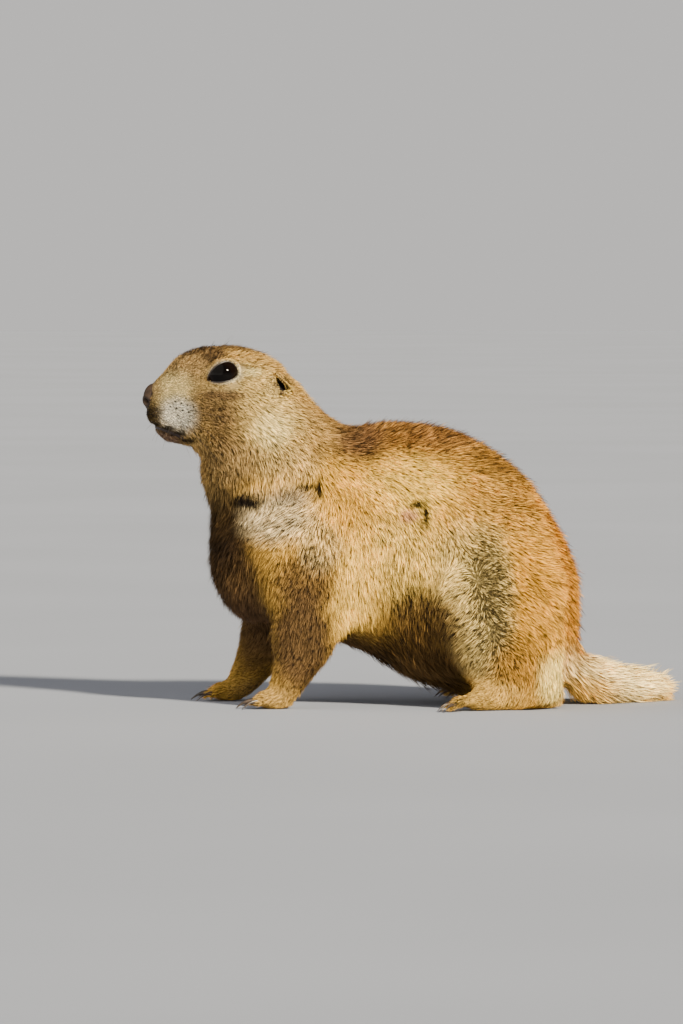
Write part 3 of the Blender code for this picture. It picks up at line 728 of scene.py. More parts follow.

# The coat's markings, and the shade painted on the chest, belly, lower flanks, forelegs, neck and mouth
MARKINGS_AND_SHADE = [
    Marking((24, 0, 117), (62, 44, 18), (0.56, 0.28, 0.068), 0.95, 0.45),
    Marking((58, 0, 90), (30, 52, 25), (0.70, 0.38, 0.08), 0.9, 0.4),
    Marking((84, 0, 58), (26, 52, 52), (0.68, 0.30, 0.031), 0.95, 0.42),
    Marking((62, 44, 42), (13, 16, 30), (0.72, 0.37, 0.041), 0.85, 0.3),
    Marking((-25, 30, 118), (14, 30, 14), (0.47, 0.29, 0.093), 0.78, 0.3),
    Marking((-14, 34, 90), (12, 16, 15), (0.90, 0.52, 0.08), 0.8, 0.14),
    Marking((11, 42, 95), (20, 22, 14), (1.00, 0.70, 0.14), 0.9, 0.1),
    Marking((28, 0, 116), (26, 52, 7), (0.36, 0.17, 0.049), 0.8, 0.5),
    Marking((56, 0, 104), (19, 52, 9), (0.28, 0.13, 0.023), 0.8, 0.5),
    Marking((8, 42, 60), (19, 16, 22), CREAM, 0.8, 0.24),
    Marking((-10, 38, 46), (11, 16, 25), (0.97, 0.65, 0.14), 0.9, 0.05),
    Marking((34, 44, 66), (13, 18, 13), (0.86, 0.61, 0.19), 0.5, 0.5),
    Marking((36, 46, 42), (15, 18, 34), (0.90, 0.69, 0.26), 0.8, 0.3),
    Marking((44, 46, 41), (9.5, 18, 33), (0.78, 0.58, 0.21), 0.85, 0.72),
    Marking((55, 42, 18), (12, 18, 13), (0.48, 0.24, 0.037), 0.88, 0.35),
    Marking((56, 38, 4), (24, 18, 9), (0.46, 0.23, 0.033), 0.9, 0.2),
    Marking((71, 36, 13), (7.5, 14, 12), (1.00, 0.78, 0.25), 0.95, 0.03),
    # Painted shade over the whole underside of the belly
    Marking((13, 0, 14), (32, 80, 20), (0.05, 0.027, 0.014), 0.95, 0.1),
    # These two darken the lower flank: mostly painted shade where the body turns under, with a little of the coat's
    # own brown
    Marking((15, 42, 35), (17, 24, 15), (0.13, 0.07, 0.021), 0.92, 0.45),
    Marking((-2, 42, 23), (17, 24, 10), (0.13, 0.07, 0.018), 0.9, 0.45),
    # Painted shade under the chest and the front of the belly, between the forelegs
    Marking((-24, 0, 28), (26, 24, 16), PAINTED_SHADE_BROWN, 0.9, 0.1),
    # Painted shade on the lower chest
    Marking((-64, 0, 50), (17, 60, 30), PAINTED_SHADE_BROWN, 0.92, 0.14),
    # Painted shade under the jaw, on the front of the neck
    Marking((-66, 0, 100), (12, 30, 10), (0.30, 0.19, 0.081), 0.6, 0.3),
    # Painted shade on the chest, nearly black
    Marking((-66, 0, 77), (15, 46, 25), (0.032, 0.019, 0.011), 0.94, 0.2),
    # The foreleg's own golden brown, darkened by painted shade
    Marking((-33, 36, 54), (14, 18, 12), (0.27, 0.15, 0.046), 0.88, 0.42),
    # The lower foreleg down to the paw, dark: mostly painted shade
    Marking((-34, 34, 28), (14, 18, 26), (0.11, 0.063, 0.03), 0.95, 0.35),
    # Painted shade on the forelegs' inner sides, which darkens the far foreleg
    Marking((-50, 0, 28), (26, 31, 32), PAINTED_SHADE_BROWN, 0.95, 0.1),
    Marking((-46, 34, 80), (17, 17, 11), (0.84, 0.68, 0.41), 0.85, 0.4),
    Marking((-38, 36, 89), (9, 14, 4), (0.22, 0.18, 0.15), 0.6, 0.4),
    Marking((-26, 38, 68), (9, 12, 10), GREY_CREAM, 0.5, 0.6),
    Marking((-10, 6, 111), (11, 32, 10), (0.24, 0.12, 0.057), 0.85, 0.5),
    Marking((102, 18, 12), (30, 24, 15), (0.98, 0.80, 0.41), 0.9, 0.06),
    Marking((84, 6, 6), (14, 12, 6), GOLD, 0.6, 0.2),
    Marking((-54, 30, 4), (18, 12, 6), (0.55, 0.35, 0.12), 0.7, 0.05),
    Marking((38, 41, 6), (22, 14, 7), (0.80, 0.51, 0.13), 0.7, 0.03),
    Marking((-62, 0, 124), (42, 40, 34), TAN, 0.9, 0.27),
    Marking((-81, 5, 144), (16, 14, 9), (0.56, 0.37, 0.16), 0.8, 0.2),
    Marking((-56, 24, 136), (20, 14, 10), (0.90, 0.66, 0.24), 0.6, 0.25),
    Marking((-47, 26, 118), (15, 14, 15), (0.80, 0.58, 0.21), 0.75, 0.27),
    Marking((-46, 27, 116), (8, 10, 8), PALE, 0.7, 0.05),
    Marking((-62, 22, 103), (13, 16, 9), (0.43, 0.28, 0.11), 0.85, 0.3),
    Marking((-40, 34, 101), (13, 18, 9), (0.84, 0.61, 0.26), 0.6, 0.25),
    Marking((-82, 0, 151), (15, 10, 4.5), BROWN, 0.9, 0.7),
    Marking((-50, 0, 151.5), (26, 9, 4), BROWN, 0.7, 0.6),
    Marking((-70.5, 12, 147.0), (5, 8, 4), BROWN, 0.85, 0.6),
    Marking((-86.5, 8, 132.5), (11, 10, 7.5), (1.00, 0.80, 0.37), 0.95, 0.03),
    Marking((-85, 10, 122.3), (9, 10, 7.3), (1.00, 0.93, 0.76), 1.0, 0.03),
    Marking((-68.5, 24, 126), (9, 10, 8), BROWN, 0.55, 0.42),
    Marking((-65, 26, 114), (7, 10, 9), BROWN, 0.4, 0.36),
    Marking((-66, 20, 130.6), (11, 9, 2.0), BROWN, 0.75, 0.3),
    Marking((-65.4, 18, 139.7), (6.0, 9, 4.1), (1.00, 0.92, 0.69), 1.0, 0.0),
    Marking((-56, 22, 140.5), (6, 7, 2.2), PALE, 0.8, 0.05),
    Marking((-39.0, 20, 136.5), (3.6, 6, 6.0), CREAM, 0.5, 0.1),
    # The chin's pinkish tone, darkened by painted shade under the jaw
    Marking((-90, 0, 112.5), (9, 8, 4.2), CHIN, 0.8, 0.0),
    Marking((-93.7, 0, 131.5), (5.3, 8, 5.5), (0.25, 0.14, 0.057), 0.85, 0.0),
    # Black on the upper lip's front: the dark skin by the nostrils, with painted shade
    Marking((-95.0, 0, 122.6), (6.0, 10, 5.5), BLACK, 1.0, 0.0),
    # Black along the mouth: the lips' dark edge, with painted shade in the mouth's crease
    *(Marking((x, 8, z + 0.3), (3.4, 9, 1.3), BLACK, 0.9, 0.0) for x, z in MOUTH_LINE[1:]),
    # Painted shadow in the crease between the neck and the shoulder
    Marking((-57.5, 30, 86.0), (8.5, 14, 2.8), BLACK, 0.98, 0.5),
    # Black in the partings of the left shoulder and flank: the dark underfur, deepened by painted shade in the gaps
    Marking((-33, -37, 92.4), (5.2, 9, 1.7), BLACK, 1.0, 0.5, True),
    Marking((-27.2, -37, 92), (1.9, 9, 4.3), BLACK, 1.0, 0.4, True),
    Marking((14.5, -43, 85.8), (4.2, 9, 1.6), BLACK, 1.0, 0.4, True),
    Marking((17.4, -43, 80.5), (1.7, 9, 4.7), BLACK, 1.0, 0.4, True),
    Marking((10.4, -43, 81), (3.8, 9, 3.0), (0.70, 0.37, 0.21), 0.8, 0.05, True),
]


class Links:
    """Shorthand for adding nodes to a tree and joining them up."""

    def __init__(self, tree: bpy.types.NodeTree) -> None:
        """Keeps the tree."""
        self.tree = tree

    def add(self, kind: str, **settings: object) -> bpy.types.Node:
        """A node of this kind, with some of its properties set."""
        node = self.tree.nodes.new(kind)
        for key, value in settings.items():
            setattr(node, key, value)
        return node

    def put(self, socket: bpy.types.NodeSocket, value: object) -> None:
        """Links an output to this input, or sets it to a value."""
        if isinstance(value, bpy.types.NodeSocket):
            self.tree.links.new(value, socket)
        elif isinstance(value, tuple) and socket.type == "RGBA":
            socket.default_value = (*value, 1)
        else:
            socket.default_value = value

    def maths(self, operation: str, *values: object) -> bpy.types.NodeSocket:
        """The result of a Math node."""
        node = self.add("ShaderNodeMath", operation=operation)
        for socket, value in zip(node.inputs, values):
            self.put(socket, value)
        return node.outputs[0]

    def vector(self, operation: str, *values: object) -> bpy.types.Node:
        """A Vector Math node."""
        node = self.add("ShaderNodeVectorMath", operation=operation)
        for socket, value in zip(node.inputs, values):
            self.put(socket, value)
        return node

    def ramp(self, value: object, low: float, high: float, first: float = 0.0, last: float = 1.0) -> bpy.types.NodeSocket:
        """A value carried smoothly from one range to another."""
        node = self.add("ShaderNodeMapRange", interpolation_type="SMOOTHSTEP")
        for socket, given in zip(node.inputs, (value, low, high, first, last)):
            self.put(socket, given)
        return node.outputs[0]

    def mix(self, share: object, one: object, other: object) -> bpy.types.NodeSocket:
        """Two colours mixed."""
        node = self.add("ShaderNodeMix", data_type="RGBA")
        for index, given in ((0, share), (6, one), (7, other)):
            self.put(node.inputs[index], given)
        return node.outputs[2]

    def mix_value(self, share: object, one: object, other: object) -> bpy.types.NodeSocket:
        """Two numbers mixed."""
        node = self.add("ShaderNodeMix", data_type="FLOAT")
        for index, given in ((0, share), (2, one), (3, other)):
            self.put(node.inputs[index], given)
        return node.outputs[0]

    def scaled(self, colour: object, amount: object) -> bpy.types.NodeSocket:
        """A colour made brighter or darker by a number."""
        node = self.add("ShaderNodeVectorMath", operation="SCALE")
        self.put(node.inputs[0], colour)
        self.put(node.inputs["Scale"], amount)
        return node.outputs[0]

    def noise(self, point: object, scale: float, detail: float) -> bpy.types.NodeSocket:
        """A cloudy pattern of this many clouds to the metre."""
        node = self.add("ShaderNodeTexNoise", noise_dimensions="3D")
        self.put(node.inputs["Vector"], point)
        self.put(node.inputs["Scale"], scale)
        self.put(node.inputs["Detail"], detail)
        return node.outputs["Fac"]

    def place(self) -> bpy.types.NodeSocket:
        """The point being coloured, in the piece's own space."""
        return self.add("ShaderNodeTexCoord").outputs["Object"]

    def group(self, tree: bpy.types.NodeTree, **inputs: object) -> dict[str, bpy.types.NodeSocket]:
        """Places a node group with these inputs, and gives its outputs by name."""
        node = self.add("ShaderNodeGroup", node_tree=tree)
        for label, value in inputs.items():
            self.put(node.inputs[label], value)
        return {socket.name: socket for socket in node.outputs}

    def bump(self, shader: bpy.types.Node, height: object, strength: float, distance: float) -> None:
        """Raises the shader's surface by a pattern."""
        node = self.add("ShaderNodeBump")
        self.put(node.inputs["Strength"], strength)
        self.put(node.inputs["Distance"], distance)
        self.put(node.inputs["Height"], height)
        self.put(shader.inputs["Normal"], node.outputs[0])


def new_material(name: str) -> tuple[bpy.types.Material, Links, bpy.types.Node]:
    """A material, a helper for its nodes and its shader."""
    material = bpy.data.materials.new(name)
    material.use_nodes = True
    return material, Links(material.node_tree), material.node_tree.nodes["Principled BSDF"]


def new_group(name: str, inputs: dict[str, str], outputs: dict[str, str]) -> tuple[bpy.types.NodeTree, Links, bpy.types.Node, bpy.types.Node]:
    """A shader node group with its sockets.

    Args:
        name: The group's name.
        inputs: Socket types by name.
        outputs: Socket types by name.

    Returns:
        The group, a helper for its nodes, and its input and output nodes.
    """
    tree = bpy.data.node_groups.new(name, "ShaderNodeTree")
    for label, kind in inputs.items():
        tree.interface.new_socket(name=label, in_out="INPUT", socket_type=kind)
    for label, kind in outputs.items():
        tree.interface.new_socket(name=label, in_out="OUTPUT", socket_type=kind)
    links = Links(tree)
    return tree, links, links.add("NodeGroupInput"), links.add("NodeGroupOutput")


@dataclass(frozen=True)
class MarkingsGroup:
    """The animal's markings and the shade painted on its chest, belly, lower flanks, forelegs, neck and mouth, as one
    node group, which skin and coat share.
    """

    base: Triple = BUFF
    base_ticks: float = 0.14
    patches: tuple[Marking, ...] = tuple(MARKINGS_AND_SHADE)
    edge: float = 0.45
    dot_place: Triple = (-83.5, 9.0, 125.4)
    dot_reach: tuple[float, float] = (6.8, 4.4)
    dot_slope: float = -16.0
    dot_step: float = 2.7
    dot_darkness: float = 0.85

    def build(self) -> bpy.types.NodeTree:
        """Makes the group: a point of the body in, a colour and a share of dark tips out."""
        tree, links, entry, exit_node = new_group(
            "markings",
            {
                "Point": "NodeSocketVector",
                "Stray": "NodeSocketFloat",
                "Ragged": "NodeSocketFloat",
            },
            {"Color": "NodeSocketColor", "Ticks": "NodeSocketFloat"},
        )
        shift = tuple(-s for s in SHIFT)
        own = links.vector("MULTIPLY_ADD", entry.outputs["Point"], (1 / MM,) * 3, shift)
        rough = links.add("ShaderNodeTexNoise", noise_dimensions="3D")
        links.put(rough.inputs["Vector"], own.outputs[0])
        links.put(rough.inputs["Scale"], 0.16)
        links.put(rough.inputs["Detail"], 3.0)
        centred = links.vector("SUBTRACT", rough.outputs["Color"], (0.5,) * 3)
        wobble = links.scaled(centred.outputs[0], entry.outputs["Ragged"])
        spread = links.vector("ADD", wobble, entry.outputs["Stray"])
        moved = links.vector("ADD", own.outputs[0], spread.outputs[0])
        parts = links.add("ShaderNodeSeparateXYZ")
        links.put(parts.inputs[0], moved.outputs[0])
        folded = links.add("ShaderNodeCombineXYZ")
        links.put(folded.inputs[0], parts.outputs[0])
        links.put(folded.inputs[1], links.maths("ABSOLUTE", parts.outputs[1]))
        links.put(folded.inputs[2], parts.outputs[2])
        colour: object = self.base
        ticks: object = self.base_ticks
        for patch in self.patches:
            point = moved.outputs[0] if patch.left_only else folded.outputs[0]
            scale = tuple(1 / r for r in patch.reach)
            offset = tuple(-c / r for c, r in zip(patch.place, patch.reach))
            away = links.vector("MULTIPLY_ADD", point, scale, offset)
            gap = links.vector("LENGTH", away.outputs[0]).outputs["Value"]
            mask = links.ramp(gap, 1 - self.edge, 1 + self.edge, patch.strength, 0.0)
            colour = links.mix(mask, colour, patch.colour)
            ticks = links.mix_value(mask, ticks, patch.ticks)
        exact = links.add("ShaderNodeSeparateXYZ")
        links.put(exact.inputs[0], own.outputs[0])
        mottle = links.ramp(links.noise(own.outputs[0], 0.13, 3.0), 0.3, 0.7, 0.82, 1.14)
        mottled = links.scaled(colour, mottle)
        dotted = links.mix(self.dots(links, exact.outputs[0], exact.outputs[2]), mottled, BLACK)
        links.put(exit_node.inputs["Color"], dotted)
        links.put(exit_node.inputs["Ticks"], ticks)
        return tree

    def dots(self, links: Links, x: object, z: object) -> bpy.types.NodeSocket:
        """The rows of dark dots on the muzzle, each round a whisker's root.

        Args:
            links: The group's nodes.
            x: The point's place along the body.
            z: Its height.

        Returns:
            How dark the dots make it.
        """
        across, up = self.dot_place[0], self.dot_place[2]
        slope = math.radians(self.dot_slope)
        steps = []
        for turn in (slope, slope + math.pi / 2):
            scale = 1 / self.dot_step
            part = links.maths("MULTIPLY_ADD", x, math.cos(turn) * scale, -across * math.cos(turn) * scale)
            steps.append(links.maths("MULTIPLY_ADD", z, math.sin(turn) * scale, part))
            steps[-1] = links.maths("MULTIPLY_ADD", up * math.sin(turn) * scale, -1.0, steps[-1])
        row = links.maths("FLOOR", steps[1])
        along = links.maths("FRACT", links.maths("MULTIPLY_ADD", row, 0.5, steps[0]))
        apart = [
            links.maths("SUBTRACT", part, 0.5) for part in (along, links.maths("FRACT", steps[1]))
        ]
        gap = links.maths("SQRT", links.maths("ADD", *(links.maths("MULTIPLY", a, a) for a in apart)))
        dot = links.ramp(gap, 0.1, 0.24, self.dot_darkness, 0.0)
        reach = self.dot_reach
        away = [
            links.maths("MULTIPLY_ADD", value, 1 / size, -middle / size)
            for value, middle, size in ((x, across, reach[0]), (z, up, reach[1]))
        ]
        far = links.maths("SQRT", links.maths("ADD", *(links.maths("MULTIPLY", a, a) for a in away)))
        return links.maths("MULTIPLY", dot, links.ramp(far, 0.8, 1.1, 1.0, 0.0))


# A hair's chance is its lock's, within one of this many bands
LOCK_BANDS = 50


@dataclass(frozen=True)
class HairGroup:
    """What makes hairs of a patch's colour: dark roots, dark ends on some, and no two alike."""

    dark: Triple = (0.013, 0.009, 0.007)
    under: float = 0.15

    def build(self) -> bpy.types.NodeTree:
        """Makes the group: a colour, a share of dark tips and the hair's own map in, a colour out."""
        tree, links, entry, exit_node = new_group(
            "hair",
            {"Color": "NodeSocketColor", "Ticks": "NodeSocketFloat", "Strand": "NodeSocketVector"},
            {"Color": "NodeSocketColor"},
        )
        parts = links.add("ShaderNodeSeparateXYZ")
        links.put(parts.inputs[0], entry.outputs["Strand"])
        chance, along = parts.outputs[0], parts.outputs[1]
        ticks = entry.outputs["Ticks"]
        pick = links.maths("FRACT", links.maths("MULTIPLY", chance, LOCK_BANDS))
        bright = links.maths("MULTIPLY_ADD", chance, 0.5, 0.78)
        bright = links.maths("MULTIPLY", bright, links.maths("MULTIPLY_ADD", pick, 0.7, 0.65))
        shade = links.maths("MULTIPLY", bright, links.ramp(along, 0.22, 0.88, self.under, 1.2))
        shaded = links.scaled(entry.outputs["Color"], shade)
        lock_pick = links.maths("FRACT", links.maths("MULTIPLY", chance, 7.3))
        both = links.maths("MULTIPLY_ADD", pick, 0.6, links.maths("MULTIPLY", lock_pick, 0.4))
        is_dark = links.maths("LESS_THAN", both, ticks)
        band = links.maths("MULTIPLY", links.ramp(along, 0.45, 0.62, 0.0, 0.93), is_dark)
        darkened = links.mix(band, shaded, self.dark)
        guard = links.maths("MULTIPLY", links.ramp(along, 0.95, 1.2, 0.0, 0.9), links.ramp(ticks, 0.08, 0.25))
        links.put(exit_node.inputs["Color"], links.mix(guard, darkened, self.dark))
        return tree


@dataclass(frozen=True)
class CoatFinish:
    """Hair of one kind, marked as the body is, painted shade included."""

    name: str
    roughness: float = 0.6
    specular: float = 0.05
    stray: float = 2.4
    ragged: float = 4.5

    def build(self, markings: bpy.types.NodeTree, hair: bpy.types.NodeTree) -> bpy.types.Material:
        """Makes the material.

        Args:
            markings: The group of markings and painted shade.
            hair: The hair group.

        Returns:
            A material for hairs that carry a Strand map.
        """
        material, links, shader = new_material(self.name)
        strand = links.add("ShaderNodeUVMap", uv_map="Strand").outputs[0]
        chance = links.add("ShaderNodeSeparateXYZ")
        links.put(chance.inputs[0], strand)
        own = links.maths("FRACT", links.maths("MULTIPLY", chance.outputs[0], LOCK_BANDS * 1.7))
        stray = links.maths("MULTIPLY_ADD", own, self.stray, -self.stray / 2)
        marked = links.group(markings, Point=links.place(), Stray=stray, Ragged=self.ragged)
        haired = links.group(hair, Color=marked["Color"], Ticks=marked["Ticks"], Strand=strand)
        links.put(shader.inputs["Base Color"], haired["Color"])
        links.put(shader.inputs["Roughness"], self.roughness)
        links.put(shader.inputs["Specular IOR Level"], self.specular)
        return material


@dataclass(frozen=True)
class SkinFinish:
    """The hide and underfur that shows between the hairs, in the coat's own markings and painted shade but darker."""

    name: str = "hide"
    darkness: float = 0.36
    grain: float = 900.0
    ragged: float = 2.0

    def build(self, markings: bpy.types.NodeTree) -> bpy.types.Material:
        """Makes the material from the group of markings and painted shade."""
        material, links, shader = new_material(self.name)
        point = links.place()
        marked = links.group(markings, Point=point, Stray=0.0, Ragged=self.ragged)
        fibres = links.noise(point, self.grain, 4.0)
        shade = links.ramp(fibres, 0.3, 0.7, self.darkness * 0.7, self.darkness * 1.3)
        links.put(shader.inputs["Base Color"], links.scaled(marked["Color"], shade))
        links.put(shader.inputs["Roughness"], 0.85)
        links.bump(shader, fibres, 0.5, 0.0006)
        return material


@dataclass(frozen=True)
class EyeFinish:
    """The dark wet ball of the eye, with a brown iris hardly paler than its pupil."""

    side: Side
    pupil: Triple = (0.002, 0.0015, 0.0015)
    iris: Triple = (0.006, 0.003, 0.002)
    roughness: float = 0.04
    specular: float = 0.1

    def build(self) -> bpy.types.Material:
        """Makes the material, with the iris round the ball's own axis."""
        material, links, shader = new_material(f"eye_{self.side.label}")
        eye = EyeShape(self.side).frame
        centre = place(*eye.translation)
        ahead = eye.to_3x3() @ Vector((0, self.side.value, 0))
        away = links.vector("SUBTRACT", links.place(), tuple(centre))
        way = links.vector("NORMALIZE", away.outputs[0])
        facing = links.vector("DOT_PRODUCT", way.outputs[0], tuple(ahead)).outputs["Value"]
        fibres = links.noise(links.place(), 2600.0, 3.0)
        ring = links.ramp(facing, 0.9, 0.72)
        tinted = links.mix(ring, self.pupil, self.iris)
        streaked = links.mix(links.maths("MULTIPLY", fibres, 0.5), tinted, self.pupil)
        links.put(shader.inputs["Base Color"], streaked)
        links.put(shader.inputs["Roughness"], links.ramp(fibres, 0.2, 0.8, self.roughness, self.roughness * 1.6))
        links.put(shader.inputs["Specular IOR Level"], self.specular)
        return material


@dataclass(frozen=True)
class GrainedFinish:
    """Bare skin or horn: a colour mottled with a second one, a fine grain and a dull or moist gloss."""

    name: str
    colour: Triple
    second: Triple
    roughness: float
    scale: float
    depth: float
    cells: bool = False
    specular: float = 0.5

    def build(self) -> bpy.types.Material:
        """Makes the material."""
        material, links, shader = new_material(self.name)
        point = links.place()
        mottle = links.noise(point, self.scale * 0.25, 4.0)
        if self.cells:
            node = links.add("ShaderNodeTexVoronoi", feature="DISTANCE_TO_EDGE")
            links.put(node.inputs["Vector"], point)
            links.put(node.inputs["Scale"], self.scale)
            grain = links.ramp(node.outputs["Distance"], 0.0, 0.35)
        else:
            grain = links.noise(point, self.scale, 3.0)
        tinted = links.mix(links.ramp(mottle, 0.35, 0.65), self.colour, self.second)
        links.put(shader.inputs["Base Color"], links.scaled(tinted, links.ramp(grain, 0.0, 1.0, 0.7, 1.1)))
        rough = links.ramp(mottle, 0.2, 0.8, self.roughness * 0.8, self.roughness * 1.2)
        links.put(shader.inputs["Roughness"], rough)
        links.put(shader.inputs["Specular IOR Level"], self.specular)
        links.bump(shader, grain, 0.6, self.depth)
        return material


@dataclass(frozen=True)
class RimmedFinish:
    """Skin that changes from its edge inward, by the piece's own Rim attribute."""

    name: str
    edge: Triple
    middle: Triple
    far: Triple
    turn: float
    roughness: float = 0.45

    def build(self) -> bpy.types.Material:
        """Makes the material."""
        material, links, shader = new_material(self.name)
        rim = links.add("ShaderNodeAttribute", attribute_name="Rim").outputs["Fac"]
        mottle = links.noise(links.place(), 1500.0, 3.0)
        inner = links.mix(links.ramp(rim, 0.0, self.turn), self.edge, self.middle)
        outer = links.mix(links.ramp(rim, self.turn, self.turn * 2), inner, self.far)
        links.put(shader.inputs["Base Color"], links.scaled(outer, links.ramp(mottle, 0.2, 0.8, 0.8, 1.15)))
        links.put(shader.inputs["Roughness"], self.roughness)
        links.bump(shader, mottle, 0.4, 0.0002)
        return material


@dataclass(frozen=True)
class FloorFinish:
    """A plain pale matt floor."""

    colour: Triple = (0.339, 0.373, 0.478)

    def build(self) -> bpy.types.Material:
        """Makes the material."""
        material, links, shader = new_material("pale_floor")
        cloud = links.noise(links.place(), 3.0, 2.0)
        links.put(shader.inputs["Base Color"], links.scaled(self.colour, links.ramp(cloud, 0.3, 0.7, 0.97, 1.03)))
        links.put(shader.inputs["Roughness"], 0.8)
        return material


class CoatPiece(NamedTuple):
    """A stretch of the coat that is one piece: the nodes it covers, how its unwrap runs and its slot."""

    name: str
    nodes: tuple[str, ...]
    axis: Axis
    slot: Slot
    halved: bool = False


def coat_pieces() -> list[CoatPiece]:
    """The stretches of the coat, from the head to the tail."""
    found = [
        CoatPiece("coat_head", ("head",), Axis.ALONG, Slot.FACE, True),
        CoatPiece("coat_neck", ("neck",), Axis.ALONG, Slot.COAT, True),
        CoatPiece("coat_torso", ("torso",), Axis.ALONG, Slot.COAT, True),
        CoatPiece("coat_rump", ("rump",), Axis.ALONG, Slot.COAT, True),
        CoatPiece("coat_tail", ("tail",), Axis.ALONG, Slot.TAIL),
    ]
    for side in Side:
        word = side.label
        found += [
            CoatPiece(f"coat_shoulder_{word}", (f"shoulder_{word}",), Axis.UP, Slot.COAT),
            CoatPiece(f"coat_thigh_{word}", (f"thigh_{word}",), Axis.UP, Slot.COAT),
            CoatPiece(f"coat_foreleg_{word}", (f"forearm_{word}", f"forepaw_{word}"), Axis.UP, Slot.COAT),
            CoatPiece(f"coat_hind_foot_{word}", (f"hind_paw_{word}",), Axis.ALONG, Slot.PAW),
        ]
    return found


@dataclass
class Growth:
    """A surface with what its hair needs at each vertex."""

    surface: Surface
    normals: np.ndarray
    lie: np.ndarray
    sizes: np.ndarray
    owner: np.ndarray

    def joined(self, other: "Growth") -> "Growth":
        """Both surfaces as one."""
        moved = len(self.surface.points)
        surface = Surface(
            np.concatenate([self.surface.points, other.surface.points]),
            np.concatenate([self.surface.triangles, other.surface.triangles + moved]),
            np.concatenate([self.surface.edges, other.surface.edges + moved]),
        )
        return Growth(
            surface,
            np.concatenate([self.normals, other.normals]),
            np.concatenate([self.lie, other.lie]),
            np.concatenate([self.sizes, other.sizes]),
            np.concatenate([self.owner, other.owner]),
        )


@dataclass
class Hairs:
    """Hairs as arrays with a row for each, in millimetres in the modeller's frame."""

    root: np.ndarray
    normal: np.ndarray
    lie: np.ndarray
    length: np.ndarray
    lift: np.ndarray
    width: np.ndarray
    roll: np.ndarray
    chance: np.ndarray
    guard: np.ndarray
    owner: np.ndarray

    def only(self, chosen: np.ndarray) -> "Hairs":
        """The chosen hairs."""
        return Hairs(**{name: values[chosen] for name, values in vars(self).items()})

    def spine(self) -> np.ndarray:
        """Each hair's line from its root to its tip, as four points."""
        spots = [self.root]
        for bend, share in zip(BEND, SHARES):
            angle = np.radians(self.lift + bend)[:, None]
            way = np.cos(angle) * self.lie + np.sin(angle) * self.normal
            spots.append(spots[-1] + way * (self.length * share)[:, None])
        return np.stack(spots, axis=1)


